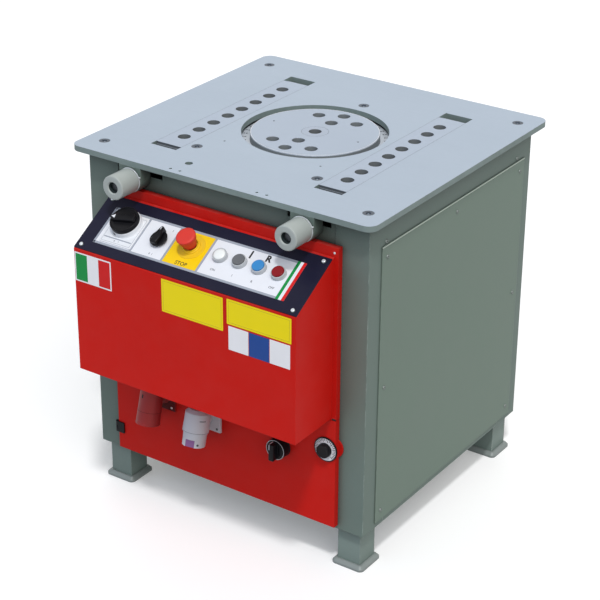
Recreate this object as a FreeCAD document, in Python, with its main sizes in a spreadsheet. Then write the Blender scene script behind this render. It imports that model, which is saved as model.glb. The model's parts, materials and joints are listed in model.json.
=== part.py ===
import FreeCAD, Part
import math
import os
from types import SimpleNamespace

import Sketcher
from FreeCAD import Placement, Rotation, Vector

# Rebar bending machine: a cabinet on four legs carries a steel table, and a geared disc turns in the
# middle of the table. Bars are bent between pins set in the disc and in the two hole strips.
#
# Machine axes: X to the right, Y to the back, Z up. The sizes below place every piece from the floor
# and from the middle of the table. The finished pieces are then moved along Y by FRAME_SHIFT, so that
# the origin lies on the floor under the middle of the whole machine, control box included.

SIZES = {
    # Table plate
    "plate_width": 728,
    "plate_depth": 692,
    "plate_thick": 12,
    "plate_corner": 22,
    "opening_radius": 153.5,
    "corner_screw_x": 319.4,
    "corner_screw_y": 289.7,
    "unit_screw_x": 147,
    "unit_screw_front": 205.5,
    "unit_screw_back": 190,
    "countersink_radius": 12.5,
    "countersink_deep": 5,
    "tooling_hole_radius": 8,
    "tooling_hole_x": 103,
    "tooling_hole_y": 289,
    "tapped_hole_radius": 3,
    "tapped_hole_y": 331,
    "tapped_hole_inner": 93,
    "tapped_hole_outer": 116,
    # Hole strips and the slots that they lie in
    "strip_x": 200,
    "strip_width": 64,
    "strip_thick": 30,
    "strip_front": 230,
    "strip_back": 221,
    "strip_step_long": 16,
    "strip_step_deep": 6,
    "strip_gap": 0.4,
    "slot_front": 248,
    "slot_back": 252,
    "row_middle": 4,
    "hole_pitch": 50,
    "holes_per_row": 8,
    "pin_hole_radius": 13.5,
    "step_screw_x": 20,
    "step_screw_radius": 2.6,
    "step_slot_long": 14,
    "step_slot_wide": 5,
    "trough_wall": 4,
    "trough_floor": 6,
    "trough_end": 6,
    # Bending disc, bush and stop ring
    "disc_y": 4,
    "disc_radius": 135,
    "disc_thick": 34.5,
    "disc_drop": 1.5,
    "disc_edge_round": 1.5,
    "disc_flange_radius": 140,
    "disc_flange_thick": 8,
    "pin_inner_y": 60.7,
    "pin_outer_y": 108.6,
    "pin_side_x": 47.7,
    "pin_side_y": 84.7,
    "bush_radius": 28.5,
    "press_gap": 0.02,
    "ring_radius": 160,
    "ring_thick": 10,
    "ring_gap": 0.3,
    "ring_hole_radius": 2.1,
    "ring_row_inner": 145.5,
    "ring_row_outer": 151,
    "ring_hole_pairs": 48,
    # Cabinet
    "body_base": 89,
    "body_height": 688,
    "body_width": 680,
    "body_depth": 630,
    "frame_wall": 4,
    "post_flange": 76,
    "gusset_side": 60,
    "gusset_thick": 8,
    "base_rail": 40,
    "top_rail": 97,
    "front_bar_low": 328,
    "front_bar_high": 366,
    "leg_side": 54,
    "leg_wall": 3,
    "leg_x": 300,
    "leg_y": 275,
    "foot_side": 75,
    "foot_height": 11,
    "foot_floor": 4,
    "foot_corner": 10,
    "foot_slope": 6,
    "foot_gap": 0.3,
    # Cover sheets
    "panel_sheet": 2,
    "panel_front": 272,
    "panel_back": 287,
    "panel_low": 100,
    "panel_high": 717,
    "back_panel_width": 600,
    "panel_screw_inset": 18.5,
    "panel_screw_drop": 25,
    "rail_screw_y": 256.5,
    "rail_screw_z": 724,
    "cover_screw_head": 4.6,
    "cover_screw_rise": 2.4,
    "cover_screw_shank": 2.5,
    "cover_screw_long": 9,
    "screw_hole_gap": 0.3,
    "front_sheet_thick": 3,
    "front_sheet_set": 2,
    "front_sheet_low": 640,
    "notch_inner": 152,
    "notch_outer": 252.6,
    "notch_deep": 28.5,
    # Red front panel and door
    "red_half_width": 280,
    "red_stand": 13.6,
    "red_sheet": 2,
    "upper_panel_top": 719,
    "seam_z": 346,
    "seam_gap": 1.5,
    "door_low": 98,
    "door_rim_gap": 0.4,
    "cable_hole_radius": 30,
    "cable_hole_z": 500,
    "tab_radius": 22.8,
    "tab_reach": 11,
    "tab_thick": 2,
    "tab_z": 278.5,
    "hinge_inset": 50.5,
    "hinge_height": 25,
    "leaf_width": 16,
    "leaf_thick": 3,
    "hinge_out_x": 4.3,
    "hinge_out_y": 1,
    "knuckle_radius": 4,
    "hinge_pin_radius": 1.6,
    "hinge_fit": 0.06,
    "hinge_play": 0.3,
    # Control box
    "box_half_width": 270,
    "box_depth": 125.6,
    "box_low": 349.5,
    "box_front_top": 622.6,
    "box_tilt": 31.33,
    "box_sheet": 2,
    "box_window_front": 18,
    "box_window_back": 126,
    "box_window_side": 22,
    "control_plate_front": 2,
    "control_plate_back": 141,
    "control_plate_thick": 2.5,
    "plate_screw_side": 13,
    "plate_screw_inset": 10,
    # Devices on the control plate: "in" is the distance from the box's nearer side, u lies right of
    # the middle and v up the slope
    "main_switch_in": 85,
    "main_switch_v": 69,
    "main_plate_width": 78,
    "main_plate_long": 76,
    "main_plate_thick": 2.5,
    "main_knob_up": 13,
    "main_knob_turn": 12,
    "main_collar_radius": 33,
    "main_collar_high": 10,
    "main_knob_radius": 31,
    "main_knob_base": 10,
    "main_grip_width": 16,
    "main_grip_high": 18,
    "mode_in": 174,
    "mode_v": 71,
    "mode_skirt_radius": 18.8,
    "mode_skirt_low": 16.5,
    "mode_bezel_high": 3,
    "mode_skirt_high": 6.5,
    "mode_wing_back": 17,
    "mode_wing_front": 23,
    "mode_wing_wide": 18,
    "mode_wing_heel": 14,
    "mode_wing_tip": 5,
    "mode_wing_high": 16.5,
    "estop_u": -22,
    "estop_v": 78,
    "estop_ring_radius": 29,
    "estop_ring_thick": 1.5,
    "estop_neck_radius": 14.5,
    "estop_neck_high": 18,
    "estop_head_radius": 20.5,
    "estop_head_low": 25,
    "estop_head_high": 38,
    "estop_stem_radius": 9,
    "lamp_in": 220,
    "grey_in": 174,
    "blue_in": 128,
    "red_in": 82,
    "buttons_v": 76,
    "bezel_radius": 14.75,
    "bezel_high": 10,
    "bezel_floor": 2.5,
    "cap_radius": 12.4,
    "cap_gap": 0.3,
    "cap_low": 7.5,
    "cap_high": 13,
    "cap_round": 1.2,
    "barrel_radius": 11,
    "barrel_hole_gap": 0.25,
    "barrel_deep": 22,
    "stem_radius": 8,
    "stem_gap": 0.08,
    "stem_short": 6,
    "block_width": 30,
    "block_long": 42,
    "block_deep": 38,
    # Devices on the door
    "socket_tilt": 15,
    "socket_flange_thick": 5,
    "socket_neck_radius": 18,
    "socket_hole_radius": 14,
    "socket_shoulder": 7,
    "flange_screw_radius": 3,
    "flange_screw_inset": 8,
    "flange_screw_rise": 1.5,
    "inlet_x": -157,
    "inlet_z": 275.5,
    "inlet_flange": 75,
    "inlet_out": 36,
    "inlet_up": 26,
    "inlet_down": 57,
    "inlet_top_radius": 24.6,
    "inlet_mouth_radius": 25.6,
    "inlet_bore_radius": 21.5,
    "inlet_bore_deep": 36,
    "inlet_pin_radius": 2.5,
    "inlet_pin_circle": 12,
    "inlet_pin_long": 28,
    "inlet_pins": 5,
    "pedal_x": -36,
    "pedal_z": 261,
    "pedal_flange": 70,
    "pedal_out": 37.6,
    "pedal_up": 26,
    "pedal_rim_down": 22,
    "pedal_down": 52.5,
    "pedal_top_radius": 26.6,
    "pedal_rim_radius": 27.6,
    "pedal_barrel_radius": 25,
    "pedal_mouth_radius": 24.2,
    "pedal_bore_radius": 21.4,
    "pedal_bore_deep": 34,
    "key_turn": 13,
    "key_width": 20,
    "key_long": 16,
    "key_reach": 22,
    "insert_gap": 0.3,
    "insert_foot": 6,
    "insert_core_radius": 15.5,
    "insert_core_long": 21,
    "contact_hole_radius": 3,
    "contact_hole_deep": 16,
    "contact_circle": 8,
    "contact_count": 3,
    "door_selector_x": 148.5,
    "door_selector_z": 246,
    "selector_base_radius": 20,
    "selector_base_long": 21,
    "selector_rim": 1.6,
    "selector_grip_wide": 11,
    "selector_grip_half": 17.2,
    "selector_grip_high": 17,
    "dial_x": 258,
    "dial_z": 276,
    "dial_radius": 27,
    "dial_thick": 3,
    "dial_knob_radius": 15.5,
    "dial_knob_long": 11,
    "spindle_radius": 3,
    "spindle_gap": 0.08,
    # Front rollers
    "roller_x": 208,
    "roller_z": 748,
    "roller_radius": 25.5,
    "roller_long": 51.5,
    "roller_round": 2,
    "roller_bore_gap": 0.06,
    "roller_mouth_radius": 9.4,
    "roller_mouth_deep": 14,
    "roller_mouth_chamfer": 1.8,
    "axle_radius": 8,
    "axle_head_radius": 9,
    "axle_head_thick": 4,
    "washer_radius": 16,
    "washer_thick": 2.6,
    "roller_side_gap": 0.3,
    "lug_radius": 27,
    # Gear unit under the table
    "carrier_radius": 128,
    "carrier_thick": 8,
    "housing_gap": 20,
    "housing_plate": 10,
    "housing_wall": 8,
    "housing_left": 290,
    "housing_right": 188,
    "housing_front": 184,
    "housing_back": 262,
    "housing_lip": 30,
    "boss_radius": 12,
    "bearing_high": 18,
    "bearing_collar": 8,
    "main_bearing_radius": 55,
    "side_bearing_radius": 22,
    "bearing_fit": 0.05,
    "gear_room": 12,
    "main_shaft_radius": 30,
    "main_seat_radius": 34,
    "side_shaft_radius": 12,
    "side_seat_radius": 17,
    "main_gear_teeth": 84,
    "second_pinion_teeth": 14,
    "low_module": 4,
    "main_gear_wide": 40,
    "second_pinion_wide": 46,
    "second_gear_teeth": 75,
    "input_pinion_teeth": 15,
    "fast_module": 3,
    "second_gear_wide": 25,
    "gear_step": 12,
    "gear_play": 0.5,
    "second_direction": 140,
    "input_direction": 225,
    "cover_thick": 10,
    # Belt drive and motor
    "pulley_drop": 12,
    "pulley_wide": 26,
    "driven_pulley_radius": 78,
    "motor_pulley_radius": 33,
    "belt_depth": 8,
    "belt_outer": 13,
    "belt_inner": 8,
    "belt_gap": 0.3,
    "motor_x": 70,
    "motor_y": 30,
    "motor_drop": 18,
    "bracket_thick": 10,
    "bracket_half": 95,
    "bracket_pillar": 9,
    "bracket_pillar_at": 84,
    "motor_radius": 78,
    "motor_long": 240,
    "motor_wall": 6,
    "motor_flange_radius": 92,
    "motor_flange_thick": 12,
    "motor_fins": 24,
    "fin_high": 7,
    "fin_thick": 2.4,
    "rotor_radius": 44,
    "rotor_long": 130,
    "rotor_from_top": 50,
    # Trip lever, limit switch and switchgear
    "trip_direction": -40,
    "trip_pivot_radius": 190,
    "trip_tip_radius": 148.5,
    "trip_pin_radius": 3,
    "trip_arm_wide": 9,
    "trip_arm_thick": 5,
    "trip_arm_gap": 0.4,
    "limit_block_long": 46,
    "limit_block_wide": 28,
    "switch_plate_width": 340,
    "switch_plate_high": 190,
    "switch_plate_thick": 2.5,
    "switch_plate_y": 285,
    "contactor_width": 46,
    "contactor_high": 82,
    "contactor_deep": 84,
    "contactor_pitch": 62,
    "contactor_z": 180,
    "contactors": 3,
    "transformer_width": 84,
    "transformer_high": 90,
}


class Size:
    """A length known twice: as a number, and as the formula by which the sheet works it out."""

    def __init__(self, text, value):
        self.text = text
        self.value = float(value)

    def _with(self, sign, other, value):
        return Size(f"({self.text} {sign} {as_size(other).text})", value)

    def __add__(self, other):
        return self._with("+", other, self.value + as_size(other).value)

    def __sub__(self, other):
        return self._with("-", other, self.value - as_size(other).value)

    def __mul__(self, other):
        return self._with("*", other, self.value * as_size(other).value)

    def __truediv__(self, other):
        return self._with("/", other, self.value / as_size(other).value)

    def __radd__(self, other):
        return as_size(other) + self

    def __rsub__(self, other):
        return as_size(other) - self

    def __rmul__(self, other):
        return as_size(other) * self

    def __neg__(self):
        return as_size(0) - self

    def __float__(self):
        return self.value


def as_size(number):
    """Give a plain number the form of a Size."""
    if isinstance(number, Size):
        return number
    return Size(f"({float(number)!r})", number)


def sine(angle):
    return Size(f"sin({angle.text})", math.sin(math.radians(angle.value)))


def cosine(angle):
    return Size(f"cos({angle.text})", math.cos(math.radians(angle.value)))


doc = FreeCAD.newDocument("rebar_bending_machine")
sheet = doc.addObject("Spreadsheet::Sheet", "Sizes")
for row, (alias, number) in enumerate(SIZES.items(), start=1):
    sheet.set(f"A{row}", alias)
    sheet.set(f"B{row}", str(number))
    sheet.setAlias(f"B{row}", alias)
doc.recompute()
dim = SimpleNamespace(**{alias: Size(f"Sizes.{alias}", number) for alias, number in SIZES.items()})

# Levels above the floor
BODY_TOP = dim.body_base + dim.body_height
TABLE_TOP = BODY_TOP + dim.plate_thick
STRIP_BOTTOM = TABLE_TOP - dim.strip_thick
DISC_TOP = TABLE_TOP - dim.disc_drop
DISC_BOTTOM = DISC_TOP - dim.disc_thick
RING_BOTTOM = DISC_BOTTOM + dim.disc_flange_thick
CARRIER_BOTTOM = DISC_BOTTOM - dim.carrier_thick
HOUSING_TOP = CARRIER_BOTTOM - dim.housing_gap
HOUSING_UNDER = HOUSING_TOP - dim.housing_plate
MAIN_GEAR_TOP = HOUSING_UNDER - dim.bearing_high - dim.gear_room
MAIN_GEAR_BOTTOM = MAIN_GEAR_TOP - dim.main_gear_wide
PINION_EXTRA = (dim.second_pinion_wide - dim.main_gear_wide) / 2
SECOND_GEAR_TOP = MAIN_GEAR_BOTTOM - dim.gear_step
SECOND_GEAR_BOTTOM = SECOND_GEAR_TOP - dim.second_gear_wide
COVER_TOP = SECOND_GEAR_BOTTOM - dim.bearing_high - dim.gear_room / 2
COVER_UNDER = COVER_TOP - dim.cover_thick
PULLEY_TOP = COVER_UNDER - dim.pulley_drop
PULLEY_BOTTOM = PULLEY_TOP - dim.pulley_wide
BRACKET_TOP = PULLEY_BOTTOM - dim.motor_drop
MOTOR_TOP = BRACKET_TOP - dim.bracket_thick
MOTOR_BOTTOM = MOTOR_TOP - dim.motor_long
FLOOR_TOP = dim.body_base + dim.frame_wall

# Planes of the cabinet
HALF_WIDTH = dim.body_width / 2
HALF_DEPTH = dim.body_depth / 2
INNER_X = HALF_WIDTH - dim.frame_wall
INNER_Y = HALF_DEPTH - dim.frame_wall
POST_X = HALF_WIDTH - dim.post_flange
POST_Y = HALF_DEPTH - dim.post_flange
PANEL_FACE = HALF_WIDTH + dim.panel_sheet
RED_FACE = -HALF_DEPTH - dim.red_stand
BOX_FRONT = RED_FACE - dim.box_depth
PLATE_FRONT = -dim.plate_depth / 2
FRAME_SHIFT = (-BOX_FRONT - dim.plate_depth / 2) / 2

# Axes of the gear train, seen from above
MAIN_AXIS = (as_size(0), dim.disc_y)
LOW_CENTRES = dim.low_module * (dim.main_gear_teeth + dim.second_pinion_teeth) / 2
FAST_CENTRES = dim.fast_module * (dim.second_gear_teeth + dim.input_pinion_teeth) / 2
SECOND_AXIS = (
    LOW_CENTRES * cosine(dim.second_direction),
    dim.disc_y + LOW_CENTRES * sine(dim.second_direction),
)
INPUT_AXIS = (
    SECOND_AXIS[0] + FAST_CENTRES * cosine(dim.input_direction),
    SECOND_AXIS[1] + FAST_CENTRES * sine(dim.input_direction),
)
MOTOR_AXIS = (dim.motor_x, dim.motor_y)

WAYS = {
    "+X": Rotation(Vector(0, 1, 0), 90),
    "-X": Rotation(Vector(0, 1, 0), -90),
    "+Y": Rotation(Vector(1, 0, 0), -90),
    "-Y": Rotation(Vector(1, 0, 0), 90),
    "+Z": Rotation(),
    "-Z": Rotation(Vector(1, 0, 0), 180),
}
NODES = {}


# Building with formulas

def bind(thing, prop, size):
    """Tie a property to the formula of a size."""
    thing.setExpression(prop, as_size(size).text)


def place(thing, x=0, y=0, z=0):
    """Tie the place of a thing to three formulas."""
    for axis, size in zip("xyz", (x, y, z)):
        bind(thing, f"Placement.Base.{axis}", size)
    return thing


def block(name, xs, ys, zs):
    """A block between a low and a high value along each axis."""
    solid = doc.addObject("Part::Box", name)
    for prop, (low, high) in zip(("Length", "Width", "Height"), (xs, ys, zs)):
        bind(solid, prop, high - low)
    return place(solid, xs[0], ys[0], zs[0])


def rod(name, start, radius, long, way="+Z"):
    """A round bar that starts at a point and runs one way."""
    solid = doc.addObject("Part::Cylinder", name)
    solid.Placement = Placement(Vector(), WAYS[way])
    bind(solid, "Radius", radius)
    bind(solid, "Height", long)
    return place(solid, *start)


def taper(name, start, first_radius, last_radius, long, way="+Z"):
    """A cone between two radii that starts at a point and runs one way."""
    solid = doc.addObject("Part::Cone", name)
    solid.Placement = Placement(Vector(), WAYS[way])
    bind(solid, "Radius1", first_radius)
    bind(solid, "Radius2", last_radius)
    bind(solid, "Height", long)
    return place(solid, *start)


def hexagon(name, start, radius, long, way="+Z"):
    """A six-sided bar, as wide across its corners as a round bar of that radius."""
    solid = doc.addObject("Part::Prism", name)
    solid.Placement = Placement(Vector(), WAYS[way])
    solid.Polygon = 6
    bind(solid, "Circumradius", radius)
    bind(solid, "Height", long)
    return place(solid, *start)


def group(name, members):
    """Several solids kept apart in one sub-part."""
    compound = doc.addObject("Part::Compound", name)
    compound.Links = members
    return compound


def join(name, members):
    """Several solids welded into one."""
    welded = doc.addObject("Part::MultiFuse", name)
    welded.Shapes = members
    welded.Refine = True
    return welded


def cut(name, base, tools):
    """A solid with others cut out of it."""
    result = doc.addObject("Part::Cut", name)
    result.Base = base
    result.Tool = tools[0] if len(tools) == 1 else group(name + "_tools", tools)
    return result


def mirrored(name, source, normal):
    """A solid and its mirror image across a plane through the machine's middle."""
    twin = doc.addObject("Part::Mirroring", name + "_twin")
    twin.Source = source
    twin.Normal = normal
    return group(name, [source, twin])


def at_four_corners(name, source):
    """A solid and its three mirror images."""
    return mirrored(name, mirrored(name + "_pair", source, Vector(1, 0, 0)), Vector(0, 1, 0))


def node(label, thing):
    """Name a finished sub-part and set it in the machine's own frame."""
    if thing.TypeId in ("Part::Box", "Part::Cylinder"):
        thing = group(label + "_piece", [thing])
    thing.Label = label
    bind(thing, "Placement.Base.y", FRAME_SHIFT)
    NODES[label] = thing
    return thing


def node_at(label, body, x=0, y=0, z=0, turn=None):
    """Name a finished body that was drawn about its own origin, and set it where it belongs."""
    body.Label = label
    if turn is not None:
        body.Placement = Placement(Vector(), turn)
    place(body, x, FRAME_SHIFT + y, z)
    NODES[label] = body
    return body


# Sketches and the features made from them

def sketch_on(body, plane, lift=0):
    """An empty sketch on one of the body's own planes, moved along that plane's normal."""
    sketch = body.newObject("Sketcher::SketchObject", f"{body.Name}_sketch")
    support = next(item for item in body.Origin.OriginFeatures if item.Role == f"{plane}_Plane")
    sketch.AttachmentSupport = [(support, "")]
    sketch.MapMode = "FlatFace"
    bind(sketch, "AttachmentOffset.Base.z", lift)
    return sketch


def measure(sketch, kind, geometry, end, size):
    """Hold one coordinate of a point at its distance from the sketch's origin."""
    size = as_size(size)
    index = sketch.addConstraint(Sketcher.Constraint(kind, -1, 1, geometry, end, size.value))
    sketch.setExpression(f"Constraints[{index}]", size.text)


def hold(sketch, geometry, end, x, y):
    """Hold a point of the sketch by its two coordinates."""
    measure(sketch, "DistanceX", geometry, end, x)
    measure(sketch, "DistanceY", geometry, end, y)


def polygon(sketch, points):
    """A closed outline of straight lines through the points."""
    places = [Vector(float(as_size(x)), float(as_size(y)), 0) for x, y in points]
    lines = [
        sketch.addGeometry(Part.LineSegment(places[i], places[(i + 1) % len(places)]), False)
        for i in range(len(places))
    ]
    for i, line in enumerate(lines):
        sketch.addConstraint(Sketcher.Constraint("Coincident", line, 2, lines[(i + 1) % len(lines)], 1))
    for line, (x, y) in zip(lines, points):
        hold(sketch, line, 1, x, y)


def rectangle(sketch, xs, ys):
    polygon(sketch, [(xs[0], ys[0]), (xs[1], ys[0]), (xs[1], ys[1]), (xs[0], ys[1])])


def circle(sketch, x, y, radius):
    """A circle held by its centre and its radius."""
    x, y, radius = as_size(x), as_size(y), as_size(radius)
    round_edge = Part.Circle(Vector(x.value, y.value, 0), Vector(0, 0, 1), radius.value)
    geometry = sketch.addGeometry(round_edge, False)
    hold(sketch, geometry, 3, x, y)
    index = sketch.addConstraint(Sketcher.Constraint("Radius", geometry, radius.value))
    sketch.setExpression(f"Constraints[{index}]", radius.text)


def feature(body, kind, name):
    """The next feature of a body, which becomes its tip."""
    step = body.newObject(f"PartDesign::{kind}", name)
    body.Tip = step
    return step


def pad(body, sketch, long, backwards=False):
    step = feature(body, "Pad", sketch.Name + "_pad")
    step.Profile = sketch
    step.Reversed = backwards
    bind(step, "Length", long)
    return step


def pocket(body, sketch, deep=None):
    """A pocket down from the sketch, through everything if no depth is given."""
    step = feature(body, "Pocket", sketch.Name + "_pocket")
    step.Profile = sketch
    if deep is None:
        step.Type = "ThroughAll"
    else:
        bind(step, "Length", deep)
    return step


def new_body(name):
    return doc.addObject("PartDesign::Body", name)


def turned(name, profile):
    """A turned piece: its half section, as radius and height, swept round the upright axis."""
    body = new_body(name)
    sketch = sketch_on(body, "XZ")
    polygon(sketch, profile)
    step = feature(body, "Revolution", name + "_turn")
    step.Profile = sketch
    step.ReferenceAxis = (sketch, ["V_Axis"])
    step.Angle = 360
    return body


def round_edges(body, kind, radius, wanted):
    """Round or chamfer the edges of the body so far that a test picks."""
    doc.recompute()
    base = body.Tip
    names = [f"Edge{i}" for i, edge in enumerate(base.Shape.Edges, start=1) if wanted(edge)]
    step = feature(body, kind, f"{body.Name}_{kind.lower()}")
    step.Base = (base, names)
    bind(step, "Size" if kind == "Chamfer" else "Radius", radius)
    return step


def upright(edge):
    """True for a straight edge along Z."""
    if not isinstance(edge.Curve, Part.Line):
        return False
    return abs(abs(edge.Curve.Direction.z) - 1) < 1e-6


def level_at(height):
    """A test for edges that lie level at a height."""
    return lambda edge: all(abs(v.Z - height) < 1e-4 for v in edge.Vertexes)


# Fasteners

def fastener(name, start, head, rise, shank, long, way, countersunk=False):
    """A socket screw: its head stands out of the start point, its shank runs the other way."""
    back = {"+": "-", "-": "+"}[way[0]] + way[1]
    if countersunk:
        top = taper(name + "_head", start, head, shank, rise, back)
        recess_depth = rise * 0.6
        recess_radius = shank * 0.9
    else:
        top = taper(name + "_head", start, head, head * 0.65, rise, way)
        recess_depth = rise * 0.7
        recess_radius = head * 0.4
    stem = rod(name + "_shank", start, shank, long, back)
    solid = join(name + "_solid", [top, stem])
    if countersunk:
        mouth = start
    else:
        axis = "XYZ".index(way[1])
        sign = 1 if way[0] == "+" else -1
        mouth = tuple(s + sign * (rise - recess_depth) if i == axis else s for i, s in enumerate(start))
    tool = hexagon(name + "_socket", mouth, recess_radius, recess_depth, back if countersunk else way)
    return cut(name, solid, [tool])


def side_screw_places(side):
    """Screws of one side panel: three down each edge and one in the middle of the top."""
    face = side * PANEL_FACE
    front = -dim.panel_front + dim.panel_screw_inset
    back = dim.panel_back - dim.panel_screw_inset
    high = dim.panel_high - dim.panel_screw_drop
    low = dim.panel_low + dim.panel_screw_drop
    edges = [(face, y, z) for y in (front, back) for z in (high, (high + low) / 2, low)]
    return edges + [(face, (front + back) / 2, high)]


def back_screw_places():
    """Screws of the back panel: three down each edge."""
    face = HALF_DEPTH + dim.panel_sheet
    side = dim.back_panel_width / 2 - dim.panel_screw_inset
    high = dim.panel_high - dim.panel_screw_drop
    low = dim.panel_low + dim.panel_screw_drop
    return [(x, face, z) for x in (-side, side) for z in (high, (high + low) / 2, low)]


def rail_screw_places(side):
    """Screws through the posts above the side panel."""
    return [(side * HALF_WIDTH, y, dim.rail_screw_z) for y in (-dim.rail_screw_y, dim.rail_screw_y)]


def screw_holes(name, places, way, deep):
    """Clearance holes for a row of screws."""
    back = {"+": "-", "-": "+"}[way[0]] + way[1]
    radius = dim.cover_screw_shank + dim.screw_hole_gap
    return [rod(f"{name}_{i}", start, radius, deep, back) for i, start in enumerate(places)]


def all_cover_holes(name):
    """The holes of every cover screw that enters the frame."""
    deep = dim.cover_screw_long + dim.screw_hole_gap
    holes = []
    for side, way in ((1, "+X"), (-1, "-X")):
        holes += screw_holes(f"{name}_side{way[0] == '+'}", side_screw_places(side), way, deep)
        holes += screw_holes(f"{name}_rail{way[0] == '+'}", rail_screw_places(side), way, deep)
    holes += screw_holes(f"{name}_back", back_screw_places(), "+Y", deep)
    return holes


# Legs and cabinet frame

def make_legs():
    """Four square tubes and the caps that they stand in."""
    half = dim.leg_side / 2
    inner = half - dim.leg_wall
    xs, ys = (dim.leg_x - half, dim.leg_x + half), (dim.leg_y - half, dim.leg_y + half)
    tube = block("leg_outside", xs, ys, (dim.foot_floor, dim.body_base))
    hollow = block(
        "leg_inside",
        (dim.leg_x - inner, dim.leg_x + inner),
        (dim.leg_y - inner, dim.leg_y + inner),
        (dim.foot_floor, dim.body_base),
    )
    node("legs", at_four_corners("leg_set", cut("leg", tube, [hollow])))

    foot = new_body("foot")
    outline = sketch_on(foot, "XY")
    side = dim.foot_side / 2
    rectangle(outline, (dim.leg_x - side, dim.leg_x + side), (dim.leg_y - side, dim.leg_y + side))
    pad(foot, outline, dim.foot_height)
    round_edges(foot, "Fillet", dim.foot_corner, upright)
    round_edges(foot, "Chamfer", dim.foot_slope, level_at(dim.foot_height.value))
    seat = sketch_on(foot, "XY", dim.foot_height)
    reach = half + dim.foot_gap
    rectangle(seat, (dim.leg_x - reach, dim.leg_x + reach), (dim.leg_y - reach, dim.leg_y + reach))
    pocket(foot, seat, dim.foot_height - dim.foot_floor)
    node("foot_caps", at_four_corners("foot_set", foot))


def make_base_frame():
    """The cabinet's floor tray: a sheet with a rail standing along each edge."""
    rail = (dim.body_base, dim.body_base + dim.base_rail)
    floor = block("base_floor", (-INNER_X, INNER_X), (-INNER_Y, INNER_Y), (dim.body_base, FLOOR_TOP))
    long_rail = block("base_side", (INNER_X, HALF_WIDTH), (-POST_Y, POST_Y), rail)
    cross_rail = block("base_end", (-POST_X, POST_X), (INNER_Y, HALF_DEPTH), rail)
    side = mirrored("base_sides", long_rail, Vector(1, 0, 0))
    end = mirrored("base_ends", cross_rail, Vector(0, 1, 0))
    shell = join("base_shell", [floor, side, end])
    node("base_frame", cut("base_tray", shell, all_cover_holes("base_hole")))


def make_body_frame():
    """Corner posts of angle section with gussets, upper rails and the bar behind the door's seam."""
    full = (dim.body_base, BODY_TOP)
    front = block("post_front", (POST_X, HALF_WIDTH), (INNER_Y, HALF_DEPTH), full)
    side = block("post_side", (INNER_X, HALF_WIDTH), (POST_Y, HALF_DEPTH), full)
    gusset = block(
        "post_gusset",
        (INNER_X - dim.gusset_side, INNER_X),
        (INNER_Y - dim.gusset_side, INNER_Y),
        (BODY_TOP - dim.gusset_thick, BODY_TOP),
    )
    below = (dim.body_base, FLOOR_TOP)
    floor_notch = block("post_floor_notch", (as_size(0), INNER_X), (as_size(0), INNER_Y), below)
    post = cut("post", join("post_angle", [front, side, gusset]), [floor_notch])
    posts = at_four_corners("posts", post)
    rail = (BODY_TOP - dim.top_rail, BODY_TOP)
    long_rail = block("top_side", (INNER_X, HALF_WIDTH), (-POST_Y, POST_Y), rail)
    sides = mirrored("top_sides", long_rail, Vector(1, 0, 0))
    back = block("top_back", (-POST_X, POST_X), (INNER_Y, HALF_DEPTH), rail)
    bar_levels = (dim.front_bar_low, dim.front_bar_high)
    bar = block("front_bar", (-POST_X, POST_X), (-HALF_DEPTH, -INNER_Y), bar_levels)
    frame = join("welded_frame", [posts, sides, back, bar])
    shank = dim.tapped_hole_radius + dim.screw_hole_gap
    tapped = rod(
        "gusset_hole",
        (dim.corner_screw_x, dim.corner_screw_y, BODY_TOP - dim.gusset_thick),
        shank,
        dim.gusset_thick,
    )
    corner_holes = at_four_corners("gusset_holes", tapped)
    node("body_frame", cut("body_frame_drilled", frame, all_cover_holes("frame_hole") + [corner_holes]))


# Cover sheets

def make_covers():
    """Side panels, back panel and the thin front sheet under the table."""
    zs = (dim.panel_low, dim.panel_high)
    sheet_and_post = dim.cover_screw_long + dim.screw_hole_gap
    for label, side, way in (("right_panel", 1, "+X"), ("left_panel", -1, "-X")):
        xs = (HALF_WIDTH, PANEL_FACE) if side == 1 else (-PANEL_FACE, -HALF_WIDTH)
        panel = block(label + "_sheet", xs, (-dim.panel_front, dim.panel_back), zs)
        holes = screw_holes(label + "_hole", side_screw_places(side), way, sheet_and_post)
        node(label, cut(label, panel, holes))
    half = dim.back_panel_width / 2
    panel = block("back_sheet", (-half, half), (HALF_DEPTH, HALF_DEPTH + dim.panel_sheet), zs)
    holes = screw_holes("back_panel_hole", back_screw_places(), "+Y", sheet_and_post)
    node("back_panel", cut("back_panel", panel, holes))

    thin = new_body("front_sheet")
    face = sketch_on(thin, "XZ", HALF_DEPTH - dim.front_sheet_set)
    notch_floor = BODY_TOP - dim.notch_deep
    right = [
        (POST_X, dim.front_sheet_low),
        (POST_X, BODY_TOP),
        (dim.notch_outer, BODY_TOP),
        (dim.notch_outer, notch_floor),
        (dim.notch_inner, notch_floor),
        (dim.notch_inner, BODY_TOP),
    ]
    left = [(-x, z) for x, z in reversed(right)]
    polygon(face, right + left)
    pad(thin, face, dim.front_sheet_thick, backwards=True)
    node_at("front_sheet", thin)


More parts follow.
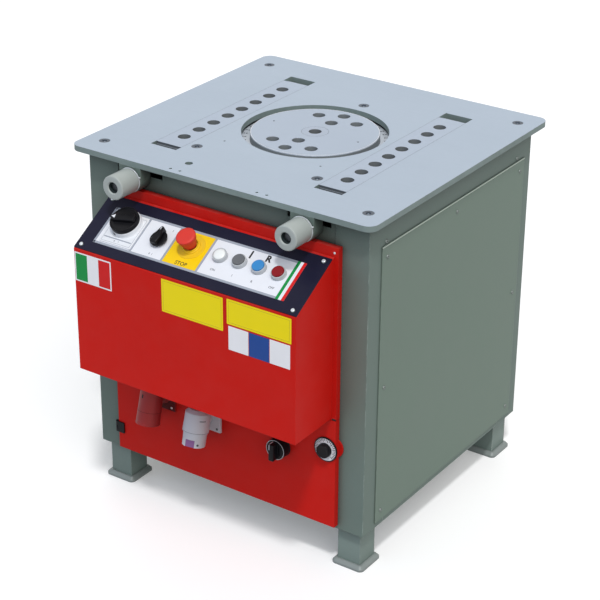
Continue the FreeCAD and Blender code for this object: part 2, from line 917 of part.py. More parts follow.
def make_cover_screws():
    """Button-head screws of the panels, the rails and the control plate."""
    screws = []
    sets = [
        ("right", side_screw_places(1) + rail_screw_places(1), "+X"),
        ("left", side_screw_places(-1) + rail_screw_places(-1), "-X"),
        ("back", back_screw_places(), "+Y"),
    ]
    for name, places, way in sets:
        for i, start in enumerate(places):
            screws.append(
                fastener(
                    f"{name}_screw_{i}",
                    start,
                    dim.cover_screw_head,
                    dim.cover_screw_rise,
                    dim.cover_screw_shank,
                    dim.cover_screw_long,
                    way,
                )
            )
    plate_screws = [
        fastener(
            f"plate_screw_{i}",
            (u, v, DEVICE_BASE),
            dim.cover_screw_head,
            dim.cover_screw_rise,
            dim.cover_screw_shank,
            dim.cover_screw_long,
            "+Z",
        )
        for i, (u, v) in enumerate(plate_screw_places())
    ]
    screws.append(set_on_slope(group("plate_screw_set", plate_screws)))
    node("cover_screws", group("cover_screw_set", screws))


def make_red_panels():
    """The folded upper panel, and the folded door below it with its rounded tab."""
    back = -HALF_DEPTH
    half, inner = dim.red_half_width, dim.red_half_width - dim.red_sheet
    inner_face = RED_FACE + dim.red_sheet

    def tray(name, low, high, rim):
        shell = block(name + "_out", (-half, half), (RED_FACE, rim), (low, high))
        levels = (low + dim.red_sheet, high - dim.red_sheet)
        room = block(name + "_in", (-inner, inner), (inner_face, rim), levels)
        return cut(name, shell, [room])

    upper = tray("upper_tray", dim.seam_z + dim.seam_gap / 2, dim.upper_panel_top, back)
    cable_place = (as_size(0), RED_FACE, dim.cable_hole_z)
    cables = rod("cable_hole", cable_place, dim.cable_hole_radius, dim.red_sheet, "+Y")
    node("upper_front_panel", cut("upper_panel", upper, [cables]))

    rim = back - dim.door_rim_gap
    lower = tray("door_tray", dim.door_low, dim.seam_z - dim.seam_gap / 2, rim)
    tab_x = half + dim.tab_reach - dim.tab_radius
    tab = rod("door_tab", (tab_x, rim - dim.tab_thick, dim.tab_z), dim.tab_radius, dim.tab_thick, "+Y")
    gap = dim.barrel_hole_gap
    holes = [
        rod("inlet_hole", (dim.inlet_x, RED_FACE, dim.inlet_z), dim.socket_hole_radius, dim.red_sheet, "+Y"),
        rod("pedal_hole", (dim.pedal_x, RED_FACE, dim.pedal_z), dim.socket_hole_radius, dim.red_sheet, "+Y"),
        rod(
            "selector_hole",
            (dim.door_selector_x, RED_FACE, dim.door_selector_z),
            dim.barrel_radius + gap,
            dim.red_sheet,
            "+Y",
        ),
        rod("dial_hole", (dim.dial_x, RED_FACE, dim.dial_z), dim.barrel_radius + gap, dim.red_sheet, "+Y"),
    ]
    node("lower_door", cut("door", join("door_sheet", [lower, tab]), holes))


def make_hinges():
    """Two hinges: a leaf and two knuckles on the door, a middle knuckle, pin and arm on the post."""
    axis = (-dim.red_half_width - dim.hinge_out_x, RED_FACE + dim.hinge_out_y)
    third = dim.hinge_height / 3
    play = dim.hinge_play
    fixed, moving = [], []
    for i, middle in enumerate((dim.door_low + dim.hinge_inset, dim.seam_z - dim.hinge_inset)):
        low = middle - dim.hinge_height / 2
        high = middle + dim.hinge_height / 2
        middle_low, middle_high = low + third, high - third
        arm = block(
            f"hinge_arm_{i}",
            (axis[0] - dim.knuckle_radius, axis[0]),
            (axis[1], -HALF_DEPTH),
            (middle_low, middle_high),
        )
        barrel = rod(f"hinge_barrel_{i}", (*axis, middle_low), dim.knuckle_radius, middle_high - middle_low)
        pin = rod(f"hinge_pin_{i}", (*axis, low), dim.hinge_pin_radius, high - low)
        fixed.append(join(f"hinge_fixed_{i}", [arm, barrel, pin]))
        knuckles = [
            rod(f"knuckle_low_{i}", (*axis, low), dim.knuckle_radius, third - play),
            rod(f"knuckle_high_{i}", (*axis, high - third + play), dim.knuckle_radius, third - play),
        ]
        leaf = block(
            f"hinge_leaf_{i}",
            (axis[0], -dim.red_half_width + dim.leaf_width),
            (RED_FACE - dim.leaf_thick, RED_FACE),
            (low, high),
        )
        reach = dim.knuckle_radius + play
        clear = block(
            f"leaf_clear_{i}",
            (axis[0] - reach, axis[0] + reach),
            (RED_FACE - dim.leaf_thick, RED_FACE + reach),
            (middle_low - play, middle_high + play),
        )
        bore = rod(f"knuckle_bore_{i}", (*axis, low), dim.hinge_pin_radius + dim.hinge_fit, high - low)
        leaf_solid = join(f"hinge_leaf_solid_{i}", [leaf] + knuckles)
        moving.append(cut(f"hinge_moving_{i}", leaf_solid, [clear, bore]))
    node("door_hinges", group("hinge_set", fixed))
    node("door_hinge_leaves", group("leaf_set", moving))


# Table

def make_table_plate():
    """The table: opening for the disc, slots for the strips, countersunk and tapped holes."""
    plate = new_body("table_plate")
    outline = sketch_on(plate, "XY", BODY_TOP)
    half_x, half_y = dim.plate_width / 2, dim.plate_depth / 2
    rectangle(outline, (-half_x, half_x), (-half_y, half_y))
    pad(plate, outline, dim.plate_thick)
    round_edges(plate, "Fillet", dim.plate_corner, upright)

    openings = sketch_on(plate, "XY", TABLE_TOP)
    circle(openings, 0, dim.disc_y, dim.opening_radius)
    half_slot = dim.strip_width / 2 + dim.strip_gap
    for side in (-1, 1):
        middle = side * dim.strip_x
        rectangle(openings, (middle - half_slot, middle + half_slot), (-dim.slot_front, dim.slot_back))
    circle(openings, -dim.tooling_hole_x, -dim.tooling_hole_y, dim.tooling_hole_radius)
    for x in (dim.tapped_hole_inner, dim.tapped_hole_outer):
        for side in (-1, 1):
            circle(openings, side * x, -dim.tapped_hole_y, dim.tapped_hole_radius)
    pocket(plate, openings)

    for x, y in table_screw_places():
        seat = taper_pocket(plate, x, y)
    plate.Tip = seat
    node_at("table_plate", plate)


def table_screw_places():
    """Four screws into the posts and three into the gear unit."""
    corners = [(i * dim.corner_screw_x, j * dim.corner_screw_y) for i in (-1, 1) for j in (-1, 1)]
    return corners + unit_screw_places()


def unit_screw_places():
    """The three screws that hold the gear unit under the table."""
    front = [(side * dim.unit_screw_x, -dim.unit_screw_front) for side in (-1, 1)]
    return front + [(as_size(0), dim.unit_screw_back)]


def taper_pocket(plate, x, y):
    """A countersunk hole in the table: its half section turned about its own axis and taken away."""
    section = sketch_on(plate, "XZ", -y)
    shank = dim.tapped_hole_radius + dim.screw_hole_gap
    rim = dim.countersink_radius + dim.screw_hole_gap
    step = TABLE_TOP - dim.countersink_deep - dim.screw_hole_gap
    points = [(0, BODY_TOP - 1), (shank, BODY_TOP - 1), (shank, step), (rim, TABLE_TOP), (0, TABLE_TOP)]
    polygon(section, [(x + r, z) for r, z in points])
    groove = feature(plate, "Groove", f"{section.Name}_groove")
    groove.Profile = section
    groove.ReferenceAxis = (section, ["Edge5"])
    groove.Angle = 360
    return groove


def make_table_screws():
    """Countersunk socket screws, flush with the table."""
    long = dim.plate_thick + dim.gusset_thick * 0.8
    screws = [
        fastener(
            f"table_screw_{i}",
            (x, y, TABLE_TOP),
            dim.countersink_radius,
            dim.countersink_deep,
            dim.tapped_hole_radius,
            long,
            "+Z",
            countersunk=True,
        )
        for i, (x, y) in enumerate(table_screw_places())
    ]
    node("table_screws", group("table_screw_set", screws))


def make_hole_strips():
    """Two inlaid bars with eight pin holes each, and a lower step with a slot at the back end."""
    half = dim.strip_width / 2
    for label, side in (("hole_strip_left", -1), ("hole_strip_right", 1)):
        strip = new_body(label)
        outline = sketch_on(strip, "XY", STRIP_BOTTOM)
        rectangle(outline, (-half, half), (-dim.strip_front, dim.strip_back + dim.strip_step_long))
        pad(strip, outline, dim.strip_thick)
        step = sketch_on(strip, "XY", TABLE_TOP)
        rectangle(step, (-half, half), (dim.strip_back, dim.strip_back + dim.strip_step_long))
        pocket(strip, step, dim.strip_step_deep)
        first = sketch_on(strip, "XY", TABLE_TOP)
        row_start = -dim.row_middle - dim.hole_pitch * (dim.holes_per_row - 1) / 2
        circle(first, 0, row_start, dim.pin_hole_radius)
        hole = pocket(strip, first)
        row = feature(strip, "LinearPattern", label + "_row")
        row.Originals = [hole]
        along = next(item for item in strip.Origin.OriginFeatures if item.Role == "Y_Axis")
        row.Direction = (along, [""])
        bind(row, "Length", dim.hole_pitch * (dim.holes_per_row - 1))
        bind(row, "Occurrences", dim.holes_per_row)
        small = sketch_on(strip, "XY", TABLE_TOP - dim.strip_step_deep)
        step_y = dim.strip_back + dim.strip_step_long / 2
        for x in (-dim.step_screw_x, dim.step_screw_x):
            circle(small, x, step_y, dim.step_screw_radius)
        half_slot, half_wide = dim.step_slot_long / 2, dim.step_slot_wide / 2
        rectangle(small, (-half_slot, half_slot), (step_y - half_wide, step_y + half_wide))
        pocket(strip, small, dim.strip_step_deep)
        strip.Tip = strip.Group[-1]
        node_at(label, strip, x=side * dim.strip_x)


def make_troughs():
    """The welded troughs under the table that the strips lie in: a floor, two side walls, two ends."""
    inner = dim.strip_width / 2 + dim.strip_gap
    outer = inner + dim.trough_wall
    length = (-dim.slot_front - dim.trough_end, dim.slot_back + dim.trough_end)
    high = (STRIP_BOTTOM, BODY_TOP)
    pieces = []
    for i, side in enumerate((-1, 1)):
        middle = side * dim.strip_x
        floor = (STRIP_BOTTOM - dim.trough_floor, STRIP_BOTTOM)
        pieces += [
            block(f"trough_floor_{i}", (middle - outer, middle + outer), length, floor),
            block(f"trough_left_{i}", (middle - outer, middle - inner), length, high),
            block(f"trough_right_{i}", (middle + inner, middle + outer), length, high),
            block(f"trough_front_{i}", (middle - inner, middle + inner), (length[0], -dim.slot_front), high),
            block(f"trough_back_{i}", (middle - inner, middle + inner), (dim.slot_back, length[1]), high),
        ]
    node("strip_troughs", group("trough_set", pieces))


# Disc

def make_disc():
    """The bending disc with its lower flange and eight pin holes, and the bush in its middle."""
    edge = dim.disc_edge_round
    disc = turned(
        "bending_disc",
        [
            (dim.bush_radius + dim.press_gap, DISC_BOTTOM),
            (dim.disc_flange_radius, DISC_BOTTOM),
            (dim.disc_flange_radius, RING_BOTTOM),
            (dim.disc_radius, RING_BOTTOM),
            (dim.disc_radius, DISC_TOP - edge),
            (dim.disc_radius - edge, DISC_TOP),
            (dim.bush_radius + dim.press_gap, DISC_TOP),
        ],
    )
    holes = sketch_on(disc, "XY", DISC_TOP)
    for y in (dim.pin_inner_y, dim.pin_outer_y):
        circle(holes, 0, y, dim.pin_hole_radius)
        circle(holes, 0, -y, dim.pin_hole_radius)
    for i in (-1, 1):
        for j in (-1, 1):
            circle(holes, i * dim.pin_side_x, j * dim.pin_side_y, dim.pin_hole_radius)
    pocket(disc, holes)
    node_at("bending_disc", disc, y=dim.disc_y)

    bush = turned(
        "centre_bush",
        [
            (dim.pin_hole_radius, DISC_BOTTOM),
            (dim.bush_radius, DISC_BOTTOM),
            (dim.bush_radius, DISC_TOP),
            (dim.pin_hole_radius, DISC_TOP),
        ],
    )
    node_at("centre_bush", bush, y=dim.disc_y)


def make_angle_ring():
    """The stop ring round the disc, with pairs of small holes all the way round."""
    ring = new_body("angle_ring")
    outline = sketch_on(ring, "XY", RING_BOTTOM)
    circle(outline, 0, 0, dim.ring_radius)
    circle(outline, 0, 0, dim.disc_radius + dim.ring_gap)
    pad(ring, outline, dim.ring_thick)
    pair = sketch_on(ring, "XY", RING_BOTTOM + dim.ring_thick)
    circle(pair, dim.ring_row_inner, 0, dim.ring_hole_radius)
    circle(pair, dim.ring_row_outer, 0, dim.ring_hole_radius)
    first = pocket(ring, pair)
    around = feature(ring, "PolarPattern", "angle_ring_holes")
    around.Originals = [first]
    upright_axis = next(item for item in ring.Origin.OriginFeatures if item.Role == "Z_Axis")
    around.Axis = (upright_axis, [""])
    around.Angle = 360
    bind(around, "Occurrences", dim.ring_hole_pairs)
    node_at("angle_ring", ring, y=dim.disc_y)


# Rollers

def make_rollers():
    """Front rollers, the lugs that hold them under the table's edge, and their axles."""
    back = PLATE_FRONT - dim.washer_thick - dim.roller_side_gap
    bore = dim.axle_radius + dim.roller_bore_gap
    mouth = dim.roller_mouth_radius
    long = dim.roller_long
    profile = [
        (bore, 0),
        (dim.roller_radius - dim.roller_round, 0),
        (dim.roller_radius, dim.roller_round),
        (dim.roller_radius, long - dim.roller_round),
        (dim.roller_radius - dim.roller_round, long),
        (mouth + dim.roller_mouth_chamfer, long),
        (mouth, long - dim.roller_mouth_chamfer),
        (mouth, long - dim.roller_mouth_deep),
        (bore, long - dim.roller_mouth_deep),
    ]
    for label, side in (("roller_left", -1), ("roller_right", 1)):
        roller = turned(label, profile)
        node_at(label, roller, side * dim.roller_x, back, dim.roller_z, WAYS["-Y"])

    lugs, axles = [], []
    for i, side in enumerate((-1, 1)):
        x = side * dim.roller_x
        start = (x, PLATE_FRONT, dim.roller_z)
        thick = -HALF_DEPTH - PLATE_FRONT
        half_round = rod(f"lug_round_{i}", start, dim.lug_radius, thick, "+Y")
        upper = block(
            f"lug_upper_{i}",
            (x - dim.lug_radius, x + dim.lug_radius),
            (PLATE_FRONT, -HALF_DEPTH),
            (dim.roller_z, BODY_TOP),
        )
        hole = rod(f"lug_hole_{i}", start, dim.axle_radius + dim.press_gap, thick, "+Y")
        lugs.append(cut(f"lug_{i}", join(f"lug_solid_{i}", [half_round, upper]), [hole]))
        head_end = long - dim.roller_mouth_deep + dim.roller_side_gap
        axle_front = back - head_end
        pin = rod(
            f"axle_pin_{i}",
            (x, axle_front, dim.roller_z),
            dim.axle_radius,
            -HALF_DEPTH - axle_front,
            "+Y",
        )
        washer = rod(f"axle_washer_{i}", start, dim.washer_radius, dim.washer_thick, "-Y")
        head = rod(
            f"axle_head_{i}",
            (x, axle_front, dim.roller_z),
            dim.axle_head_radius,
            dim.axle_head_thick,
            "-Y",
        )
        axles.append(join(f"axle_{i}", [pin, washer, head]))
    node("roller_lugs", group("lug_set", lugs))
    node("roller_axles", group("axle_set", axles))


# Control box and its devices

PANEL_TURN = Rotation(Vector(1, 0, 0), SIZES["box_tilt"])
DEVICE_BASE = dim.control_plate_thick
MAIN_SWITCH_U = dim.main_switch_in - dim.box_half_width
MODE_U = dim.mode_in - dim.box_half_width
LAMP_U = dim.box_half_width - dim.lamp_in
GREY_U = dim.box_half_width - dim.grey_in
BLUE_U = dim.box_half_width - dim.blue_in
RED_U = dim.box_half_width - dim.red_in


def on_panel(label, thing, u=0, v=0):
    """Set a finished thing on the sloping top: u to the right, v up the slope, its own Z outwards."""
    u, v = as_size(u), as_size(v)
    thing.Label = label
    thing.Placement = Placement(Vector(), PANEL_TURN)
    bind(thing, "Placement.Rotation.Angle", dim.box_tilt)
    place(
        thing,
        u,
        FRAME_SHIFT + BOX_FRONT + v * cosine(dim.box_tilt),
        dim.box_front_top + v * sine(dim.box_tilt),
    )
    NODES[label] = thing
    return thing


def device_places():
    """Where the six round devices stand on the control plate."""
    buttons = [(u, dim.buttons_v) for u in (LAMP_U, GREY_U, BLUE_U, RED_U)]
    return [(MODE_U, dim.mode_v), (dim.estop_u, dim.estop_v)] + buttons


def make_control_box():
    """The folded box with its sloping top and the window under the control plate."""
    tan_tilt = sine(dim.box_tilt) / cosine(dim.box_tilt)
    back_top = dim.box_front_top + dim.box_depth * tan_tilt
    wall = dim.box_sheet
    drop = wall / cosine(dim.box_tilt)
    box = new_body("control_box")
    side_view = sketch_on(box, "YZ", -dim.box_half_width)
    polygon(
        side_view,
        [
            (BOX_FRONT, dim.box_low),
            (RED_FACE, dim.box_low),
            (RED_FACE, back_top),
            (BOX_FRONT, dim.box_front_top),
        ],
    )
    pad(box, side_view, dim.box_half_width * 2)
    room = sketch_on(box, "YZ", dim.box_half_width - wall)
    front = BOX_FRONT + wall
    polygon(
        room,
        [
            (front, dim.box_low + wall),
            (RED_FACE, dim.box_low + wall),
            (RED_FACE, back_top - drop),
            (front, dim.box_front_top + wall * tan_tilt - drop),
        ],
    )
    pocket(box, room, (dim.box_half_width - wall) * 2)
    doc.recompute()
    shell = group("control_box_shell", [box])
    window_half = dim.box_half_width - dim.box_window_side
    window = block(
        "box_window",
        (-window_half, window_half),
        (dim.box_window_front, dim.box_window_back),
        (-2 * wall, wall),
    )
    screw_hole = dim.cover_screw_shank + dim.screw_hole_gap
    holes = [
        rod(f"box_screw_hole_{i}", (u, v, -2 * wall), screw_hole, 3 * wall)
        for i, (u, v) in enumerate(plate_screw_places())
    ]
    seat = set_on_slope(group("box_window_seat", [window] + holes))
    node("control_box", cut("control_box_open", shell, [seat]))


def plate_screw_places():
    """Where the four screws of the control plate stand."""
    rows = (dim.control_plate_front + dim.plate_screw_inset, dim.control_plate_back - dim.plate_screw_inset)
    column = dim.box_half_width - dim.plate_screw_side
    return [(side * column, v) for side in (-1, 1) for v in rows]


def set_on_slope(thing):
    """Turn a group that is laid out on the control plate's own axes to where the box's top lies."""
    thing.Placement = Placement(Vector(), PANEL_TURN)
    bind(thing, "Placement.Rotation.Angle", dim.box_tilt)
    return place(thing, 0, BOX_FRONT, dim.box_front_top)


def make_control_plate():
    """The dark control plate, with a hole for each device and for the screws at its corners."""
    plate = new_body("control_panel_plate")
    outline = sketch_on(plate, "XY")
    half = dim.box_half_width
    rectangle(outline, (-half, half), (dim.control_plate_front, dim.control_plate_back))
    pad(plate, outline, dim.control_plate_thick)
    holes = sketch_on(plate, "XY", dim.control_plate_thick)
    for u, v in device_places():
        circle(holes, u, v, dim.barrel_radius + dim.barrel_hole_gap)
    for u, v in plate_screw_places():
        circle(holes, u, v, dim.cover_screw_shank + dim.screw_hole_gap)
    main_v = dim.main_switch_v + dim.main_knob_up
    circle(holes, MAIN_SWITCH_U, main_v, dim.barrel_radius + dim.barrel_hole_gap)
    pocket(plate, holes)
    on_panel("control_panel_plate", plate)


def make_bezels():
    """Bezels of the lamp, the buttons and the mode selector: a collar over a hollow barrel."""
    bezels = []
    low = DEVICE_BASE - dim.barrel_deep
    floor = DEVICE_BASE + dim.bezel_floor
    top = DEVICE_BASE + dim.bezel_high
    bore = dim.stem_radius + dim.stem_gap
    for i, (u, v) in enumerate(device_places()[2:]):
        bezel = turned(
            f"bezel_{i}",
            [
                (bore, low),
                (dim.barrel_radius, low),
                (dim.barrel_radius, DEVICE_BASE),
                (dim.bezel_radius, DEVICE_BASE),
                (dim.bezel_radius, top - dim.cap_round),
                (dim.bezel_radius - dim.cap_round, top),
                (dim.cap_radius + dim.cap_gap, top),
                (dim.cap_radius + dim.cap_gap, floor),
                (bore, floor),
            ],
        )
        place(bezel, u, v, 0)
        bezels.append(bezel)
    low_bezel = turned(
        "bezel_mode",
        [
            (bore, low),
            (dim.barrel_radius, low),
            (dim.barrel_radius, DEVICE_BASE),
            (dim.bezel_radius, DEVICE_BASE),
            (dim.bezel_radius, DEVICE_BASE + dim.mode_bezel_high),
            (bore, DEVICE_BASE + dim.mode_bezel_high),
        ],
    )
    bezels.append(place(low_bezel, MODE_U, dim.mode_v, 0))
    on_panel("button_bezels", group("bezel_set", bezels))


def cap_profile(top):
    """Half section of a cap with its stem, down to just above the contact block."""
    low = DEVICE_BASE - dim.barrel_deep + dim.stem_short
    under = DEVICE_BASE + dim.cap_low
    return [
        (0, low),
        (dim.stem_radius, low),
        (dim.stem_radius, under),
        (dim.cap_radius, under),
        (dim.cap_radius, top - dim.cap_round),
        (dim.cap_radius - dim.cap_round, top),
        (0, top),
    ]


def make_buttons():
    """Lamp and buttons: each a cap on a stem that slides in its bezel."""
    top = DEVICE_BASE + dim.cap_high
    for label, u in (
        ("signal_lamp", LAMP_U),
        ("grey_button", GREY_U),
        ("blue_button", BLUE_U),
        ("red_button", RED_U),
    ):
        on_panel(label, turned(label, cap_profile(top)), u, dim.buttons_v)


def make_mode_selector():
    """A skirt over its low bezel, wider at the top, with a wing-shaped grip that points up the slope."""
    under = DEVICE_BASE + dim.mode_bezel_high + dim.cap_gap
    top = under + dim.mode_skirt_high
    low = DEVICE_BASE - dim.barrel_deep + dim.stem_short
    skirt = dim.mode_skirt_radius
    knob = turned(
        "mode_selector_knob",
        [
            (0, low),
            (dim.stem_radius, low),
            (dim.stem_radius, under),
            (dim.mode_skirt_low, under),
            (skirt, top - dim.cap_round),
            (skirt - dim.cap_round, top),
            (0, top),
        ],
    )
    grip = sketch_on(knob, "XY", under)
    half, heel, tip = dim.mode_wing_wide / 2, dim.mode_wing_heel / 2, dim.mode_wing_tip / 2
    polygon(
        grip,
        [
            (-heel, -dim.mode_wing_back),
            (heel, -dim.mode_wing_back),
            (half, 0),
            (tip, dim.mode_wing_front),
            (-tip, dim.mode_wing_front),
            (-half, 0),
        ],
    )
    pad(knob, grip, dim.mode_wing_high)
    on_panel("mode_selector_knob", knob, MODE_U, dim.mode_v)


def make_main_switch():
    """The white plate with its round collar and barrel, and the knob with a raised grip bar."""
    plate = new_body("main_switch_plate")
    outline = sketch_on(plate, "XY", DEVICE_BASE)
    half_u, half_v = dim.main_plate_width / 2, dim.main_plate_long / 2
    rectangle(outline, (-half_u, half_u), (-half_v, half_v))
    pad(plate, outline, dim.main_plate_thick)
    top = DEVICE_BASE + dim.main_plate_thick
    up = dim.main_knob_up
    collar = sketch_on(plate, "XY", top)
    circle(collar, 0, up, dim.main_collar_radius)
    pad(plate, collar, dim.main_collar_high)
    barrel = sketch_on(plate, "XY", DEVICE_BASE)
    circle(barrel, 0, up, dim.barrel_radius)
    pad(plate, barrel, dim.barrel_deep, backwards=True)
    collar_top = top + dim.main_collar_high
    bore = sketch_on(plate, "XY", collar_top)
    circle(bore, 0, up, dim.stem_radius + dim.stem_gap)
    pocket(plate, bore)
    on_panel("main_switch_plate", plate, MAIN_SWITCH_U, dim.main_switch_v)

    knob = new_body("main_switch_knob")
    low = collar_top + dim.cap_gap
    disc = sketch_on(knob, "XY", low)
    circle(disc, 0, 0, dim.main_knob_radius)
    pad(knob, disc, dim.main_knob_base)
    round_edges(knob, "Chamfer", dim.cap_round, level_at((low + dim.main_knob_base).value))
    grip = sketch_on(knob, "XY", low)
    bind(grip, "AttachmentOffset.Rotation.Angle", dim.main_knob_turn)
    half = dim.main_grip_width / 2
    reach = dim.main_knob_radius - dim.cap_round
    polygon(
        grip,
        [
            (-reach + half, -half),
            (reach - half, -half),
            (reach - half, half),
            (-reach + half, half),
            (-reach, 0),
        ],
    )
    pad(knob, grip, dim.main_grip_high)
    stem = sketch_on(knob, "XY", low)
    circle(stem, 0, 0, dim.stem_radius)
    pad(knob, stem, low - DEVICE_BASE + dim.barrel_deep - dim.stem_short, backwards=True)
    on_panel("main_switch_knob", knob, MAIN_SWITCH_U, dim.main_switch_v + up)


def make_emergency_stop():
    """The yellow ring with its neck, and the mushroom head on its stem."""
    low = DEVICE_BASE - dim.barrel_deep
    bore = dim.estop_stem_radius + dim.stem_gap
    collar = turned(
        "estop_collar",
        [
            (bore, low),
            (dim.barrel_radius, low),
            (dim.barrel_radius, DEVICE_BASE),
            (dim.estop_ring_radius, DEVICE_BASE),
            (dim.estop_ring_radius, DEVICE_BASE + dim.estop_ring_thick),
            (dim.estop_neck_radius, DEVICE_BASE + dim.estop_ring_thick),
            (dim.estop_neck_radius, DEVICE_BASE + dim.estop_neck_high),
            (bore, DEVICE_BASE + dim.estop_neck_high),
        ],
    )
    on_panel("estop_collar", collar, dim.estop_u, dim.estop_v)

    under, top = DEVICE_BASE + dim.estop_head_low, DEVICE_BASE + dim.estop_head_high
    rise = top - under
    head = turned(
        "estop_head",
        [
            (0, low + dim.stem_short),
            (dim.estop_stem_radius, low + dim.stem_short),
            (dim.estop_stem_radius, under - rise / 6),
            (dim.estop_neck_radius, under),
            (dim.estop_head_radius - dim.cap_round, under + rise / 6),
            (dim.estop_head_radius, under + rise / 3),
            (dim.estop_head_radius, top - rise / 3),
            (dim.estop_head_radius - rise / 8, top - rise / 8),
            (dim.estop_head_radius - rise / 2, top),
            (0, top),
        ],
    )
    on_panel("estop_head", head, dim.estop_u, dim.estop_v)


def make_contact_blocks():
    """Contact blocks under the devices, and the limit switch on the gear housing."""
    half_u, half_v = dim.block_width / 2, dim.block_long / 2
    top = DEVICE_BASE - dim.barrel_deep
    main_v = dim.main_switch_v + dim.main_knob_up
    blocks = [
        block(
            f"contact_block_{i}",
            (u - half_u, u + half_u),
            (v - half_v, v + half_v),
            (top - dim.block_deep, top),
        )
        for i, (u, v) in enumerate(device_places() + [(MAIN_SWITCH_U, main_v)])
    ]
    on_panel("contact_blocks", group("contact_block_set", blocks))


# Devices on the door

def on_door(label, thing, x, z, tilt=None):
    """Set a finished thing on the door: its own Z points out of the door's face."""
    thing.Label = label
    thing.Placement = Placement(Vector(), tilt if tilt is not None else WAYS["-Y"])
    place(thing, x, FRAME_SHIFT + RED_FACE, z)
    NODES[label] = thing
    return thing


def hang(thing, out):
    """Tilt a thing drawn along its own Z so that it hangs down and forward from its neck."""
    thing.Placement = Placement(Vector(), Rotation(Vector(1, 0, 0), 1))
    bind(thing, "Placement.Rotation.Angle", 180 - dim.socket_tilt)
    return place(thing, 0, -out, 0)


def flange_and_neck(name, side, out):
    """A square flange on the door, the neck that stands out of it, and its four screw heads."""
    half = side / 2
    thick = dim.socket_flange_thick
    flange = block(name + "_flange", (-half, half), (-thick, as_size(0)), (-half, half))
    neck = rod(name + "_neck", (as_size(0), -out, as_size(0)), dim.socket_neck_radius, out, "+Y")
    at = half - dim.flange_screw_inset
    radius, rise = dim.flange_screw_radius, dim.flange_screw_rise
    heads = [
        rod(f"{name}_screw_{i}{j}", (i * at, -thick, j * at), radius, rise, "-Y")
        for i in (-1, 1)
        for j in (-1, 1)
    ]
    return [flange, neck], heads


def around_axis(name, count, make):
    """Pieces made once at each of a number of equal turns about the local Z."""
    return [make(f"{name}_{i}", 360 * i / count) for i in range(count)]


def make_inlet():
    """The power inlet: flange, neck and a round shroud with contact pins inside."""
    up, down = dim.inlet_up, dim.inlet_down
    floor = down - dim.inlet_bore_deep
    shroud = turned(
        "inlet_shroud",
        [
            (0, -up),
            (dim.inlet_top_radius - dim.socket_shoulder, -up),
            (dim.inlet_top_radius, -up + dim.socket_shoulder),
            (dim.inlet_mouth_radius, down),
            (dim.inlet_bore_radius, down),
            (dim.inlet_bore_radius, floor),
            (0, floor),
        ],
    )

    def contact_pin(name, turn):
        angle = math.radians(turn)
        x, y = dim.inlet_pin_circle * math.sin(angle), dim.inlet_pin_circle * math.cos(angle)
        return rod(name, (x, y, floor), dim.inlet_pin_radius, dim.inlet_pin_long)

    pins = group("inlet_pins", around_axis("inlet_pin", SIZES["inlet_pins"], contact_pin))
    base, heads = flange_and_neck("inlet", dim.inlet_flange, dim.inlet_out)
    body = join("inlet_body", base + [hang(group("inlet_hung", [shroud]), dim.inlet_out)])
    pieces = [body, hang(pins, dim.inlet_out)] + heads
    set_at_door("power_inlet", group("inlet_piece", pieces), dim.inlet_x, dim.inlet_z)


def make_pedal_socket():
    """The foot pedal's socket: a shroud that steps in below its rim, and the violet insert with its key."""
    up, down = dim.pedal_up, dim.pedal_down
    floor = down - dim.pedal_bore_deep
    shroud = turned(
        "pedal_shroud",
        [
            (0, -up),
            (dim.pedal_top_radius - dim.socket_shoulder, -up),
            (dim.pedal_top_radius, -up + dim.socket_shoulder),
            (dim.pedal_rim_radius, dim.pedal_rim_down),
            (dim.pedal_barrel_radius, dim.pedal_rim_down),
            (dim.pedal_mouth_radius, down),
            (dim.pedal_bore_radius, down),
            (dim.pedal_bore_radius, floor),
            (0, floor),
        ],
    )

    def key(name, half, first_reach, last_reach, start, end):
        """A block on the front of the axis, turned to the side by the key's angle."""
        solid = block(name, (-half, half), (first_reach, last_reach), (start, end))
        turned_block = group(name + "_turned", [solid])
        turned_block.Placement = Placement(Vector(), Rotation(Vector(0, 0, 1), 1))
        bind(turned_block, "Placement.Rotation.Angle", -dim.key_turn)
        return turned_block

    half = dim.key_width / 2
    notch_start = down - dim.key_long
    notch = key(
        "pedal_notch",
        half,
        dim.insert_core_radius,
        dim.pedal_barrel_radius + dim.socket_shoulder,
        notch_start,
        down + dim.insert_gap,
    )
    base, heads = flange_and_neck("pedal", dim.pedal_flange, dim.pedal_out)
    hung_shroud = hang(cut("pedal_notched", group("pedal_hung", [shroud]), [notch]), dim.pedal_out)
    pieces = [join("pedal_body", base + [hung_shroud])] + heads
    set_at_door("pedal_socket", group("pedal_piece", pieces), dim.pedal_x, dim.pedal_z)

    foot = rod("insert_foot", (0, 0, floor), dim.pedal_bore_radius - dim.insert_gap, dim.insert_foot)
    core = rod("insert_core", (0, 0, floor), dim.insert_core_radius, dim.insert_core_long)
    tongue = key(
        "insert_key",
        half - dim.insert_gap,
        dim.contact_circle,
        dim.key_reach,
        notch_start + dim.insert_gap,
        down - dim.insert_gap,
    )
    bridge = key(
        "insert_bridge",
        half - dim.insert_gap,
        dim.contact_circle,
        dim.insert_core_radius,
        floor + dim.insert_core_long / 2,
        notch_start + dim.insert_gap,
    )

    def contact_hole(name, turn):
        angle = math.radians(turn + 180)
        x, y = dim.contact_circle * math.sin(angle), dim.contact_circle * math.cos(angle)
        deep = dim.contact_hole_deep
        return rod(name, (x, y, floor + dim.insert_core_long - deep), dim.contact_hole_radius, deep)

    holes = around_axis("contact_hole", SIZES["contact_count"], contact_hole)
    insert = cut("insert_drilled", join("insert_solid", [foot, core, bridge, tongue]), holes)
    hung_insert = group("insert_piece", [hang(group("insert_hung", [insert]), dim.pedal_out)])
    set_at_door("socket_insert", hung_insert, dim.pedal_x, dim.pedal_z)


